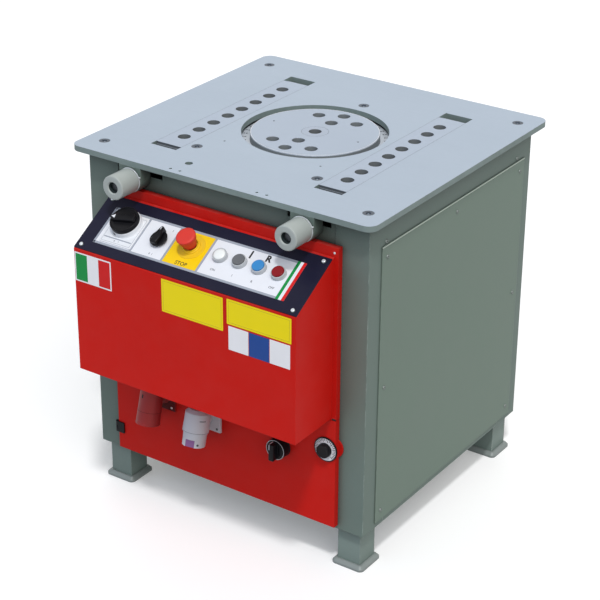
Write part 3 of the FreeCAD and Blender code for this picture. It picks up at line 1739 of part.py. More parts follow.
def set_at_door(label, thing, x, z):
    """Set a thing that was drawn upright against the door's face."""
    thing.Label = label
    place(thing, x, FRAME_SHIFT + RED_FACE, z)
    NODES[label] = thing
    return thing


def make_door_selector():
    """The selector's round base with its light rim, and the knob that turns in it."""
    base_top = dim.selector_base_long
    inner = dim.selector_base_radius - dim.selector_rim
    bore = dim.spindle_radius + dim.spindle_gap
    base = turned(
        "door_selector_base",
        [
            (bore, -dim.red_sheet * 4),
            (dim.barrel_radius, -dim.red_sheet * 4),
            (dim.barrel_radius, 0),
            (dim.selector_base_radius + dim.selector_rim, 0),
            (dim.selector_base_radius, base_top),
            (inner, base_top),
            (inner, base_top - dim.selector_rim),
            (bore, base_top - dim.selector_rim),
        ],
    )
    on_door("door_selector_base", base, dim.door_selector_x, dim.door_selector_z)

    knob = new_body("door_selector_knob")
    low = base_top - dim.selector_rim + dim.cap_gap
    face = sketch_on(knob, "XY", low)
    circle(face, 0, 0, inner - dim.cap_gap)
    pad(knob, face, dim.selector_rim)
    grip = sketch_on(knob, "XY", low)
    half, reach = dim.selector_grip_wide / 2, dim.selector_grip_half
    rectangle(grip, (-half, half), (-reach, reach))
    pad(knob, grip, dim.selector_grip_high)
    spindle = sketch_on(knob, "XY", low)
    circle(spindle, 0, 0, dim.spindle_radius)
    pad(knob, spindle, low, backwards=True)
    on_door("door_selector_knob", knob, dim.door_selector_x, dim.door_selector_z)


def make_dial():
    """The round scale plate and the plain knob in its middle."""
    bore = dim.spindle_radius + dim.spindle_gap
    plate = turned(
        "dial_plate",
        [
            (bore, -dim.red_sheet * 4),
            (dim.barrel_radius, -dim.red_sheet * 4),
            (dim.barrel_radius, 0),
            (dim.dial_radius, 0),
            (dim.dial_radius, dim.dial_thick - dim.cap_gap),
            (dim.dial_radius - dim.cap_gap, dim.dial_thick),
            (bore, dim.dial_thick),
        ],
    )
    on_door("dial_plate", plate, dim.dial_x, dim.dial_z)
    low = dim.dial_thick + dim.cap_gap
    top = low + dim.dial_knob_long
    knob = turned(
        "dial_knob",
        [
            (0, 0),
            (dim.spindle_radius, 0),
            (dim.spindle_radius, low),
            (dim.dial_knob_radius, low),
            (dim.dial_knob_radius - dim.cap_round / 2, top - dim.cap_round),
            (dim.dial_knob_radius - dim.cap_round * 2, top),
            (0, top),
        ],
    )
    on_door("dial_knob", knob, dim.dial_x, dim.dial_z)


# Gears

def gear_face(teeth, module, play):
    """Face of a spur gear with involute flanks; tooth 0 points along +X.

    The involute of the base circle gives each flank a few points. The play is shared by both flanks.
    """
    pressure = math.radians(20)
    pitch = teeth * module / 2
    base = pitch * math.cos(pressure)
    tip = pitch + module
    root = pitch - 1.25 * module
    half_tooth = (math.pi * module / 2 - play / 2) / (2 * pitch)
    inv = math.tan(pressure) - pressure

    def half_angle(radius):
        """Half of the tooth's angle at a radius, from its own middle."""
        if radius <= base:
            return half_tooth + inv
        local = math.acos(base / radius)
        return half_tooth + inv - (math.tan(local) - local)

    start = max(base, root)
    steps = 4
    radii = [root] + [start + (tip - start) * i / steps for i in range(steps + 1)]
    if start == root:
        radii = radii[1:]
    points = []
    for tooth in range(teeth):
        middle = 2 * math.pi * tooth / teeth
        rising = [(r, middle - half_angle(r)) for r in radii]
        falling = [(r, middle + half_angle(r)) for r in reversed(radii)]
        points += [Vector(r * math.cos(a), r * math.sin(a), 0) for r, a in rising + falling]
    return Part.Face(Part.makePolygon(points + points[:1]))


def gear_solid(teeth, module, play, low, wide, turn):
    """A gear blank with cut teeth, turned about its axis by an angle."""
    solid = gear_face(teeth, module, play).extrude(Vector(0, 0, wide))
    solid.rotate(Vector(), Vector(0, 0, 1), turn)
    solid.translate(Vector(0, 0, low))
    return solid


def shaft_solid(steps):
    """A stepped shaft: (radius, low, high) for each length."""
    lengths = [Part.makeCylinder(r, high - low, Vector(0, 0, low)) for r, low, high in steps]
    return lengths[0].multiFuse(lengths[1:]).removeSplitter()


def computed(label, shape, axis):
    """A sub-part whose shape is worked out in code, standing on an axis of the gear train."""
    thing = doc.addObject("Part::Feature", label)
    thing.Shape = shape
    thing.Label = label
    place(thing, axis[0], FRAME_SHIFT + axis[1], 0)
    NODES[label] = thing
    return thing


def make_gear_train():
    """Main gear, second shaft with pinion and gear, and the input shaft with its pinion."""
    play = SIZES["gear_play"]
    seat_gap = SIZES["press_gap"]
    up = HOUSING_UNDER.value
    down = COVER_TOP.value
    clear = SIZES["gear_room"] / 6

    main_turn = SIZES["second_direction"]
    main = gear_solid(
        SIZES["main_gear_teeth"],
        SIZES["low_module"],
        play,
        MAIN_GEAR_BOTTOM.value,
        SIZES["main_gear_wide"],
        main_turn,
    )
    bore = Part.makeCylinder(
        SIZES["main_seat_radius"] + seat_gap,
        SIZES["main_gear_wide"],
        Vector(0, 0, MAIN_GEAR_BOTTOM.value),
    )
    computed("main_gear", main.cut(bore), MAIN_AXIS)

    half_pitch = 180 / SIZES["second_pinion_teeth"]
    pinion = gear_solid(
        SIZES["second_pinion_teeth"],
        SIZES["low_module"],
        play,
        (MAIN_GEAR_BOTTOM - PINION_EXTRA).value,
        SIZES["second_pinion_wide"],
        main_turn + 180 + half_pitch,
    )
    journal, seat = SIZES["side_shaft_radius"], SIZES["side_seat_radius"]
    shaft = shaft_solid(
        [
            (journal, down + clear, up - clear),
            (seat, SECOND_GEAR_BOTTOM.value, MAIN_GEAR_TOP.value),
        ]
    )
    computed("second_shaft", shaft.fuse(pinion).removeSplitter(), SECOND_AXIS)

    fast_turn = SIZES["input_direction"]
    second = gear_solid(
        SIZES["second_gear_teeth"],
        SIZES["fast_module"],
        play,
        SECOND_GEAR_BOTTOM.value,
        SIZES["second_gear_wide"],
        fast_turn,
    )
    bore = Part.makeCylinder(
        seat + seat_gap,
        SIZES["second_gear_wide"],
        Vector(0, 0, SECOND_GEAR_BOTTOM.value),
    )
    computed("second_gear", second.cut(bore), SECOND_AXIS)

    half_pitch = 180 / SIZES["input_pinion_teeth"]
    pinion = gear_solid(
        SIZES["input_pinion_teeth"],
        SIZES["fast_module"],
        play,
        SECOND_GEAR_BOTTOM.value,
        SIZES["second_gear_wide"],
        fast_turn + 180 + half_pitch,
    )
    shaft = shaft_solid([(journal, PULLEY_BOTTOM.value, up - clear)])
    computed("input_shaft", shaft.fuse(pinion).removeSplitter(), INPUT_AXIS)


def make_main_shaft():
    """The main shaft: carrier flange under the disc, hub, gear seat and lower end."""
    shaft = turned(
        "main_shaft",
        [
            (0, COVER_TOP + dim.gear_room / 6),
            (dim.main_shaft_radius, COVER_TOP + dim.gear_room / 6),
            (dim.main_shaft_radius, MAIN_GEAR_BOTTOM - dim.press_gap),
            (dim.main_seat_radius, MAIN_GEAR_BOTTOM - dim.press_gap),
            (dim.main_seat_radius, MAIN_GEAR_TOP),
            (dim.main_shaft_radius, MAIN_GEAR_TOP),
            (dim.main_shaft_radius, CARRIER_BOTTOM),
            (dim.carrier_radius, CARRIER_BOTTOM),
            (dim.carrier_radius, DISC_BOTTOM),
            (0, DISC_BOTTOM),
        ],
    )
    node_at("main_shaft", shaft, y=dim.disc_y)


def bearing_places():
    """Each shaft's axis, its radius and the radius of its bearings."""
    return [
        (MAIN_AXIS, dim.main_shaft_radius, dim.main_bearing_radius),
        (SECOND_AXIS, dim.side_shaft_radius, dim.side_bearing_radius),
        (INPUT_AXIS, dim.side_shaft_radius, dim.side_bearing_radius),
    ]


def make_housing():
    """The welded gear housing, hung from the table by three columns, its cover and the bearings."""
    gap = dim.press_gap
    xs, ys = (-dim.housing_left, dim.housing_right), (-dim.housing_front, dim.housing_back)
    wall = dim.housing_wall
    lip = dim.housing_lip
    shaft_room = dim.gear_room / 6
    level = (COVER_TOP, HOUSING_UNDER)
    walls = [
        block("housing_front_wall", xs, (ys[0], ys[0] + wall), level),
        block("housing_back_wall", xs, (ys[1] - wall, ys[1]), level),
        block("housing_left_wall", (xs[0], xs[0] + wall), (ys[0] + wall, ys[1] - wall), level),
        block("housing_right_wall", (xs[1] - wall, xs[1]), (ys[0] + wall, ys[1] - wall), level),
    ]
    roof_holes, cover_holes, rings, cover_rings, bearings = [], [], [], [], []
    ring_low = HOUSING_UNDER - dim.bearing_high
    for i, ((x, y), shaft, outer) in enumerate(bearing_places()):
        roof_holes.append(rod(f"roof_hole_{i}", (x, y, HOUSING_UNDER), shaft + shaft_room, dim.housing_plate))
        for name, low, made in (("top", ring_low, rings), ("low", COVER_TOP, cover_rings)):
            collar = rod(f"{name}_collar_{i}", (x, y, low), outer + dim.bearing_collar, dim.bearing_high)
            seat = rod(f"{name}_seat_{i}", (x, y, low), outer + gap, dim.bearing_high)
            made.append(cut(f"{name}_ring_{i}", collar, [seat]))
            ring = rod(f"{name}_bearing_out_{i}", (x, y, low), outer, dim.bearing_high)
            bore = rod(f"{name}_bearing_in_{i}", (x, y, low), shaft + dim.bearing_fit, dim.bearing_high)
            bearings.append(cut(f"{name}_bearing_{i}", ring, [bore]))
    roof = block(
        "housing_roof",
        (xs[0] - lip / 2, xs[1]),
        (ys[0] - lip - dim.boss_radius, ys[1]),
        (HOUSING_UNDER, HOUSING_TOP),
    )
    roof = cut("housing_roof_bored", roof, roof_holes)
    screw_hole = dim.tapped_hole_radius + dim.screw_hole_gap
    columns = []
    for i, (x, y) in enumerate(unit_screw_places()):
        column = rod(f"column_{i}", (x, y, HOUSING_TOP), dim.boss_radius, BODY_TOP - HOUSING_TOP)
        tapped = rod(f"column_hole_{i}", (x, y, BODY_TOP - dim.housing_gap), screw_hole, dim.housing_gap)
        columns.append(cut(f"column_tapped_{i}", column, [tapped]))
    node("gear_housing", group("housing_set", [roof] + walls + rings + columns))
    node("shaft_bearings", group("bearing_set", bearings))

    cover = block("cover_sheet", xs, ys, (COVER_UNDER, COVER_TOP))
    input_x, input_y = INPUT_AXIS
    input_hole = rod(
        "cover_input_hole",
        (input_x, input_y, COVER_UNDER),
        dim.side_shaft_radius + shaft_room,
        dim.cover_thick,
    )
    cover = cut("cover_bored", cover, [input_hole])
    x, y = MOTOR_AXIS
    half = dim.bracket_half
    bracket = block("bracket_plate", (x - half, x + half), (y - half, y + half), (MOTOR_TOP, BRACKET_TOP))
    motor_hole = rod("bracket_hole", (x, y, MOTOR_TOP), dim.side_shaft_radius + shaft_room, dim.bracket_thick)
    bracket = cut("bracket_bored", bracket, [motor_hole])
    at = dim.bracket_pillar_at
    radius, high = dim.bracket_pillar, COVER_UNDER - BRACKET_TOP
    pillars = [
        rod(f"bracket_pillar_{i}{j}", (x + i * at, y + j * at, BRACKET_TOP), radius, high)
        for i in (-1, 1)
        for j in (-1, 1)
    ]
    node("housing_cover", group("cover_set", [cover, bracket] + pillars + cover_rings))


# Belt drive and motor

def groove_profile(outer, bore):
    """Half section of a pulley with one belt groove in the middle of its rim."""
    middle = (PULLEY_TOP + PULLEY_BOTTOM) / 2
    mouth = dim.belt_outer / 2 + dim.belt_gap
    root = dim.belt_inner / 2 + dim.belt_gap
    floor = outer - dim.belt_depth - dim.belt_gap
    return [
        (bore, PULLEY_BOTTOM),
        (outer, PULLEY_BOTTOM),
        (outer, middle - mouth),
        (floor, middle - root),
        (floor, middle + root),
        (outer, middle + mouth),
        (outer, PULLEY_TOP),
        (bore, PULLEY_TOP),
    ]


def belt_path(first, first_radius, last, last_radius):
    """The closed line of a belt round two wheels: two tangent lines and two arcs."""
    span = last - first
    distance = span.Length
    heading = math.atan2(span.y, span.x)
    spread = math.acos((first_radius - last_radius) / distance)

    def rim(centre, radius, angle):
        return centre + Vector(radius * math.cos(angle), radius * math.sin(angle), 0)

    upper, lower = heading + spread, heading - spread
    far = heading + math.pi
    edges = [
        Part.LineSegment(rim(first, first_radius, lower), rim(last, last_radius, lower)).toShape(),
        Part.Arc(
            rim(last, last_radius, lower),
            rim(last, last_radius, heading),
            rim(last, last_radius, upper),
        ).toShape(),
        Part.LineSegment(rim(last, last_radius, upper), rim(first, first_radius, upper)).toShape(),
        Part.Arc(
            rim(first, first_radius, upper),
            rim(first, first_radius, far),
            rim(first, first_radius, lower),
        ).toShape(),
    ]
    return Part.Wire(edges)


def make_belt():
    """The belt: its wedge section is a loft between two loops, one pair above the middle, one below."""
    first = Vector(INPUT_AXIS[0].value, INPUT_AXIS[1].value, 0)
    last = Vector(MOTOR_AXIS[0].value, MOTOR_AXIS[1].value, 0)
    outer = (SIZES["driven_pulley_radius"], SIZES["motor_pulley_radius"])
    inner = tuple(radius - SIZES["belt_depth"] for radius in outer)
    middle = ((PULLEY_TOP + PULLEY_BOTTOM) / 2).value

    def loop_face(radii, low, high):
        """A belt-shaped slab between two levels."""
        wire = belt_path(first, radii[0], last, radii[1])
        slab = Part.Face(wire).extrude(Vector(0, 0, high - low))
        slab.translate(Vector(0, 0, low))
        return slab

    steps = 4
    layers = []
    for i in range(steps):
        depth = (inner[0] - outer[0]) * i / steps
        half = SIZES["belt_outer"] / 2 + (SIZES["belt_inner"] - SIZES["belt_outer"]) / 2 * (i + 1) / steps
        radii = tuple(radius + depth for radius in outer)
        next_radii = tuple(radius - SIZES["belt_depth"] / steps for radius in radii)
        whole = loop_face(radii, middle - half, middle + half)
        layers.append(whole.cut(loop_face(next_radii, middle - half - 1, middle + half + 1)))
    belt = layers[0].multiFuse(layers[1:]).removeSplitter()
    computed("drive_belt", belt, (as_size(0), as_size(0)))


def make_motor():
    """Pulleys, rotor with its shaft, and the finned motor housing under its flange."""
    bore = dim.side_shaft_radius + dim.press_gap
    pulley = turned("driven_pulley", groove_profile(dim.driven_pulley_radius, bore))
    node_at("driven_pulley", pulley, *INPUT_AXIS)
    pulley = turned("motor_pulley", groove_profile(dim.motor_pulley_radius, bore))
    node_at("motor_pulley", pulley, *MOTOR_AXIS)

    journal = dim.side_shaft_radius
    rotor_top = MOTOR_TOP - dim.rotor_from_top
    shaft_low = MOTOR_BOTTOM + dim.motor_wall * 2
    rotor = turned(
        "motor_rotor",
        [
            (0, shaft_low),
            (journal, shaft_low),
            (journal, rotor_top - dim.rotor_long),
            (dim.rotor_radius, rotor_top - dim.rotor_long),
            (dim.rotor_radius, rotor_top),
            (journal, rotor_top),
            (journal, PULLEY_TOP),
            (0, PULLEY_TOP),
        ],
    )
    node_at("motor_rotor", rotor, *MOTOR_AXIS)

    inner = dim.motor_radius - dim.motor_wall
    fit = journal + dim.bearing_fit
    housing = turned(
        "motor_housing",
        [
            (0, MOTOR_BOTTOM),
            (dim.motor_radius, MOTOR_BOTTOM),
            (dim.motor_radius, MOTOR_TOP - dim.motor_flange_thick),
            (dim.motor_flange_radius, MOTOR_TOP - dim.motor_flange_thick),
            (dim.motor_flange_radius, MOTOR_TOP),
            (fit, MOTOR_TOP),
            (fit, MOTOR_TOP - dim.motor_flange_thick),
            (inner, MOTOR_TOP - dim.motor_flange_thick),
            (inner, MOTOR_BOTTOM + dim.motor_wall * 3),
            (fit, MOTOR_BOTTOM + dim.motor_wall * 3),
            (fit, MOTOR_BOTTOM + dim.motor_wall),
            (0, MOTOR_BOTTOM + dim.motor_wall),
        ],
    )
    fin = sketch_on(housing, "XY", MOTOR_BOTTOM + dim.motor_wall)
    half = dim.fin_thick / 2
    rectangle(fin, (dim.motor_radius - half, dim.motor_radius + dim.fin_high), (-half, half))
    first = pad(housing, fin, dim.motor_long - dim.motor_wall - dim.motor_flange_thick)
    around = feature(housing, "PolarPattern", "motor_fins")
    around.Originals = [first]
    upright_axis = next(item for item in housing.Origin.OriginFeatures if item.Role == "Z_Axis")
    around.Axis = (upright_axis, [""])
    around.Angle = 360
    bind(around, "Occurrences", dim.motor_fins)
    node_at("motor_housing", housing, *MOTOR_AXIS)


# Trip lever and switchgear

def on_ring_side(name, solid, y):
    """Turn a piece drawn along +X from the disc's axis to the limit switch's side of the ring."""
    thing = group(name, [solid])
    thing.Placement = Placement(Vector(), Rotation(Vector(0, 0, 1), 1))
    bind(thing, "Placement.Rotation.Angle", dim.trip_direction)
    return place(thing, 0, y, 0)


def make_trip_lever():
    """The lever whose tip stands under the stop ring; gives back the limit switch that it turns on."""
    arm_top = DISC_BOTTOM - dim.trip_arm_gap
    arm_low = arm_top - dim.trip_arm_thick
    half = dim.trip_arm_wide / 2
    pivot = dim.trip_pivot_radius
    tip = dim.trip_tip_radius
    pin = dim.trip_pin_radius
    fit = dim.spindle_gap
    arm = block("trip_arm", (tip, pivot), (-half, half), (arm_low, arm_top))
    nose = rod("trip_nose", (tip, as_size(0), arm_low), half, dim.trip_arm_thick)
    eye = rod("trip_eye", (pivot, as_size(0), arm_low), half, dim.trip_arm_thick)
    finger = rod("trip_finger", (tip, as_size(0), arm_top), pin, RING_BOTTOM - dim.trip_arm_gap - arm_top)
    bore = rod("trip_bore", (pivot, as_size(0), arm_low), pin + fit, dim.trip_arm_thick)
    lever = cut("trip_lever_solid", join("trip_shape", [arm, nose, eye, finger]), [bore])
    turned_lever = on_ring_side("trip_lever", lever, FRAME_SHIFT + dim.disc_y)
    turned_lever.Label = "trip_lever"
    NODES["trip_lever"] = turned_lever

    half_long, half_wide = dim.limit_block_long / 2, dim.limit_block_wide / 2
    body_top = arm_low - dim.trip_arm_gap
    housing = block(
        "limit_block",
        (pivot - half_wide, pivot + half_wide),
        (-half_long, half_long),
        (HOUSING_TOP, body_top),
    )
    pin_solid = rod("limit_pin", (pivot, as_size(0), body_top), pin, dim.trip_arm_thick + dim.trip_arm_gap)
    return on_ring_side("limit_switch", join("limit_solid", [housing, pin_solid]), dim.disc_y)


def make_switchgear(limit_switch):
    """A mounting plate on the cabinet's floor with its devices, and the limit switch up on the housing."""
    back = dim.switch_plate_y
    half = dim.switch_plate_width / 2
    face = back - dim.switch_plate_thick
    top = FLOOR_TOP + dim.switch_plate_high
    pieces = [block("switch_plate", (-half, half), (face, back), (FLOOR_TOP, top))]
    for i in range(SIZES["contactors"]):
        x = -half + dim.contactor_pitch * (i + 0.5)
        wide = dim.contactor_width / 2
        pieces.append(
            block(
                f"contactor_{i}",
                (x - wide, x + wide),
                (face - dim.contactor_deep, face),
                (dim.contactor_z, dim.contactor_z + dim.contactor_high),
            )
        )
    x = half - dim.transformer_width
    wide = dim.transformer_width / 2
    pieces.append(
        block(
            "transformer",
            (x - wide, x + wide),
            (face - dim.transformer_width, face),
            (FLOOR_TOP, FLOOR_TOP + dim.transformer_high),
        )
    )
    node("switchgear", group("switchgear_set", pieces + [limit_switch]))


def check_document():
    """Stop if any object failed or any sub-part has no sound solid."""
    for thing in doc.Objects:
        if {"Invalid", "Error"} & set(thing.State):
            raise RuntimeError(f"{thing.Name} failed: {thing.State}")
    for label, thing in NODES.items():
        shape = thing.Shape
        if shape.isNull() or not shape.isValid() or not shape.Solids:
            raise RuntimeError(f"{label} has no sound solid")


def export_nodes():
    """Write each sub-part to its own file."""
    os.makedirs("parts", exist_ok=True)
    for label, thing in NODES.items():
        thing.Shape.exportStep(os.path.join("parts", f"{label}.step"))


make_legs()
make_base_frame()
make_body_frame()
make_covers()
make_cover_screws()
make_red_panels()
make_hinges()
make_table_plate()
make_table_screws()
make_hole_strips()
make_troughs()
make_disc()
make_angle_ring()
make_rollers()
make_control_box()
make_control_plate()
make_bezels()
make_buttons()
make_mode_selector()
make_main_switch()
make_emergency_stop()
make_contact_blocks()
make_inlet()
make_pedal_socket()
make_door_selector()
make_dial()
make_gear_train()
make_main_shaft()
make_housing()
make_belt()
make_motor()
make_switchgear(make_trip_lever())
doc.recompute()
check_document()
export_nodes()
print(f"{len(NODES)} sub-parts")
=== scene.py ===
"""Looks of a floor-standing rebar bending machine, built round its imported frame.

Lengths in the classes are millimetres; seats turn them into metres in the frame's own axes.
"""

import json
import logging
import math
from dataclasses import dataclass
from enum import Enum
from typing import ClassVar

import bmesh
import bpy
import numpy as np
from mathutils import Matrix, Vector


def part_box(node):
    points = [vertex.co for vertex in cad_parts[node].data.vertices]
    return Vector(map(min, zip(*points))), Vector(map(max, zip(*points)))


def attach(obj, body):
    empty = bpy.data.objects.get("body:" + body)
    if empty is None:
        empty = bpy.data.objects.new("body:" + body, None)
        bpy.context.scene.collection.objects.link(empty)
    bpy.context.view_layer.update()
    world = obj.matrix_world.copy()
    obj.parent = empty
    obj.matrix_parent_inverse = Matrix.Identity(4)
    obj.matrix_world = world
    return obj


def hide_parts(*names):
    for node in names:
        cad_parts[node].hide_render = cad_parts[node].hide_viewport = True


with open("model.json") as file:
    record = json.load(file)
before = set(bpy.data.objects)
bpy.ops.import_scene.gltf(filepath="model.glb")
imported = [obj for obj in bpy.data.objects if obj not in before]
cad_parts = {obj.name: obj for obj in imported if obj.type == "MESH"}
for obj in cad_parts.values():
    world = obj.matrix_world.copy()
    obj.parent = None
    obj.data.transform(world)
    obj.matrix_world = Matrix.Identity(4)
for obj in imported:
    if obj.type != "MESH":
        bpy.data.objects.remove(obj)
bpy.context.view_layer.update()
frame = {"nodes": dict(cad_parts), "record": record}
log = logging.getLogger("rebar_bender")

Pair = tuple[float, float]
Triple = tuple[float, float, float]
Quad = tuple[float, float, float, float]
Tone = tuple[int, int, int]
Corners = list[tuple[float, ...]]
Socket = bpy.types.NodeSocket
Inputs = dict[str | int, object]

MM = 0.001
RIGHT, BACK, UP = (1.0, 0.0, 0.0), (0.0, 1.0, 0.0), (0.0, 0.0, 1.0)
FORWARD = (0.0, -1.0, 0.0)
SIDES = (-1, 1)
FULL_TURN = 72  # points of a circle
SHARP = 35.0  # edges that bend by more degrees than this stay sharp
BARREL = 11.0  # radius of the barrels that go through a plate
PLATE_TILT = 31.33  # degrees by which the control plate rises towards the back
PLATE_FOOT = 622.6  # height of the control plate's front edge


# Places that pieces are laid out on


@dataclass(frozen=True)
class Seat:
    """A place with three directions: a local point (u, v, w) in millimetres lands at
    origin + (u * across + v * along + w * out) / 1000, in metres."""

    origin: Triple
    across: Triple = RIGHT
    along: Triple = UP
    out: Triple = FORWARD

    def lay(self, points: np.ndarray) -> np.ndarray:
        """Rows of local (u, v, w), in millimetres, as rows of (x, y, z), in metres."""
        return np.array(self.origin) + points @ np.array([self.across, self.along, self.out]) * MM

    def at(self, u: float = 0.0, v: float = 0.0, w: float = 0.0, turn: float = 0.0) -> "Seat":
        """The same seat moved and then turned about its own outward axis.

        Args:
            u: millimetres across.
            v: millimetres along.
            w: millimetres out.
            turn: degrees, anticlockwise seen from outside.

        Returns:
            The new seat.
        """
        c, s = math.cos(math.radians(turn)), math.sin(math.radians(turn))
        across, along = np.array(self.across), np.array(self.along)
        start = self.lay(np.array([[u, v, w]], float))[0]
        return Seat(tuple(start), tuple(c * across + s * along), tuple(c * along - s * across), self.out)

    def around(self, angle: float, radius: float, w: float) -> "Seat":
        """A seat on the side of a round piece, which looks straight away from this seat's axis.

        Args:
            angle: degrees from the across direction towards the along direction.
            radius: millimetres from the axis.
            w: millimetres out along the axis.

        Returns:
            The new seat: its across runs round the piece and its along runs out along the axis.
        """
        turn = math.radians(angle)
        side = self.at(radius * math.cos(turn), radius * math.sin(turn), w, angle)
        return Seat(side.origin, side.along, self.out, side.across)


# Shapes as arrays


@dataclass(frozen=True)
class Shape:
    """Vertices as rows of local points, and faces as rows of four vertex numbers."""

    points: np.ndarray
    faces: np.ndarray

    def moved(self, u: float = 0.0, v: float = 0.0, w: float = 0.0) -> "Shape":
        """The shape shifted by (u, v, w) millimetres."""
        return Shape(self.points + np.array([u, v, w]), self.faces)


def joined(shapes: list[Shape]) -> Shape:
    """Put several shapes into one.

    Args:
        shapes: the shapes, in any order.

    Returns:
        One shape that holds them all as separate shells.
    """
    starts = np.cumsum([0] + [len(shape.points) for shape in shapes[:-1]])
    faces = [shape.faces + start for shape, start in zip(shapes, starts)]
    return Shape(np.concatenate([shape.points for shape in shapes]), np.concatenate(faces))


def copies(shape: Shape, spots: list[tuple[float, ...]]) -> Shape:
    """A shape repeated at several spots, as one."""
    return joined([shape.moved(*spot) for spot in spots])


def grid(points: np.ndarray, wrap_rows: bool = False, wrap_columns: bool = False) -> Shape:
    """A surface over a grid of points: face (i, j) spans rows i, i + 1 and columns j, j + 1.

    Args:
        points: an array of rows by columns by three.
        wrap_rows: whether the last row joins the first.
        wrap_columns: whether the last column joins the first.

    Returns:
        The surface.
    """
    rows, columns = points.shape[:2]
    spans = np.arange(rows - (not wrap_rows)), np.arange(columns - (not wrap_columns))
    i, j = np.meshgrid(*spans, indexing="ij")
    below, beside = (i + 1) % rows, (j + 1) % columns
    corners = [i * columns + j, i * columns + beside, below * columns + beside, below * columns + j]
    return Shape(points.reshape(-1, 3).astype(float), np.stack(corners, -1).reshape(-1, 4))


def unit(vectors: np.ndarray) -> np.ndarray:
    """Vectors at length 1."""
    return vectors / np.linalg.norm(vectors, axis=-1, keepdims=True)


def circle(radius: float, steps: int = FULL_TURN) -> np.ndarray:
    """A closed circle round the origin: (radius cos a, radius sin a) over a full turn of a."""
    angle = np.linspace(0, 2 * math.pi, steps, endpoint=False)
    return radius * np.stack([np.cos(angle), np.sin(angle)], -1)


def spun(radii: np.ndarray, heights: np.ndarray) -> Shape:
    """A surface round the w axis: in each row it passes (r cos a, r sin a, height) over a full turn of a.

    Args:
        radii: r in each row and at each step of the turn.
        heights: the height of each row.

    Returns:
        The surface; the last row joins the first if that lies off the axis.
    """
    flat = radii[..., None] * circle(1.0, radii.shape[1])
    level = np.broadcast_to(heights[:, None, None], (*radii.shape, 1))
    return grid(np.concatenate([flat, level], -1), bool(radii[0, 0] > 0), True)


def lathe(profile: np.ndarray, steps: int = FULL_TURN) -> Shape:
    """A surface of revolution of a profile, which has rows of (radius, height)."""
    return spun(np.repeat(profile[:, :1], steps, axis=1), profile[:, 1])


def rounded(corners: Corners, steps: int = 5) -> np.ndarray:
    """A line through corners, each replaced by an arc that touches both of its sides.

    At a corner with half angle h between its sides, an arc of radius r starts r / tan(h) before it, and its
    points are centre + r (cos a, sin a), with the centre r / sin(h) away from the corner.

    Args:
        corners: rows of (x, y, radius); a corner without a radius stays sharp.
        steps: how many spans an arc has.

    Returns:
        Rows of (x, y).
    """
    spots = np.array([corner[:2] for corner in corners], float)
    line = []
    for k, (spot, corner) in enumerate(zip(spots, corners)):
        radius = sum(corner[2:])
        if radius <= 0:
            line.append(spot[None])
            continue
        back, ahead = unit(spots[k - 1] - spot), unit(spots[(k + 1) % len(spots)] - spot)
        half = math.acos(np.clip(back @ ahead, -1, 1)) / 2
        centre = spot + unit(back + ahead) * radius / math.sin(half)
        first = spot + back * radius / math.tan(half) - centre
        last = spot + ahead * radius / math.tan(half) - centre
        sweep = math.atan2(first[0] * last[1] - first[1] * last[0], first @ last)
        turn = math.atan2(first[1], first[0]) + np.linspace(0, 1, steps + 1) * sweep
        line.append(centre + radius * np.stack([np.cos(turn), np.sin(turn)], -1))
    return np.concatenate(line)


def turned(corners: Corners, steps: int = FULL_TURN, arc_steps: int = 5) -> Shape:
    """A surface of revolution from corners (radius, height, rounding), from axis to axis or round a ring."""
    return lathe(rounded(corners, arc_steps), steps)


def washer(
    inner: float, outer: float, low: float, high: float, steps: int = FULL_TURN, rim: Pair = (0, 0)
) -> Shape:
    """A flat ring, or a disc if inner is 0; rim rounds the lower and the upper outer edge."""
    return turned([(inner, low), (outer, low, rim[0]), (outer, high, rim[1]), (inner, high)], steps)


def shaft(inner: float, outer: float, low: float, high: float, edge: float = 0.0) -> Corners:
    """The first corners of a section: out along an underside at low and up to high."""
    return [(inner, low), (outer, low, edge), (outer, high)]


def socket_head(radius: float, low: float, high: float, across: float, deep: float, edge: float) -> Shape:
    """A round screw head with a six-sided socket.

    In direction a the socket's outline lies at half its width over cos of the angle to the nearest flat.

    Args:
        radius: of the head.
        low: height of its underside.
        high: height of its top.
        across: width of the socket over its flats.
        deep: depth of the socket.
        edge: bevel of the rim.

    Returns:
        The head.
    """
    angle = np.linspace(0, 2 * math.pi, FULL_TURN, endpoint=False)
    six = across / 2 / np.cos(np.mod(angle, math.pi / 3) - math.pi / 6)
    rows = [(0, low), (radius, low), (radius, high - edge), (radius - edge, high), (six * 1.04, high),
            (six, high - 0.3), (six, high - deep), (0, high - deep)]
    return spun(np.stack([reach + 0 * angle for reach, _ in rows]), np.array([level for _, level in rows]))


def wall(inner: np.ndarray, outer: np.ndarray, low: float, high: float, closed: bool = True) -> Shape:
    """A form between two lines of points, with a rectangle from low to high as its section everywhere.

    Args:
        inner: rows of (u, v).
        outer: as many rows.
        low: lower height.
        high: upper height.
        closed: whether the lines are loops; others get a face at either end.

    Returns:
        The form.
    """
    levels = ((inner, low), (inner, high), (outer, high), (outer, low))
    shell = grid(np.stack([np.insert(line, 2, level, axis=1) for line, level in levels]), True, closed)
    if closed:
        return shell
    ends = [[k + row * len(inner) for row in range(4)] for k in (0, len(inner) - 1)]
    return Shape(shell.points, np.concatenate([shell.faces, np.array(ends)]))


def sector(inner: float, outer: float, turn: Pair, low: float, high: float) -> Shape:
    """A piece of a round wall: its section (radius, height) is a rectangle that sweeps between two angles.

    Args:
        inner: inner radius.
        outer: outer radius.
        turn: first and last angle, in degrees.
        low: lower height.
        high: upper height.

    Returns:
        The piece, closed at both ends.
    """
    angle = np.radians(np.linspace(*turn, 16))
    way = np.stack([np.cos(angle), np.sin(angle)], -1)
    return wall(way * inner, way * outer, low, high, closed=False)


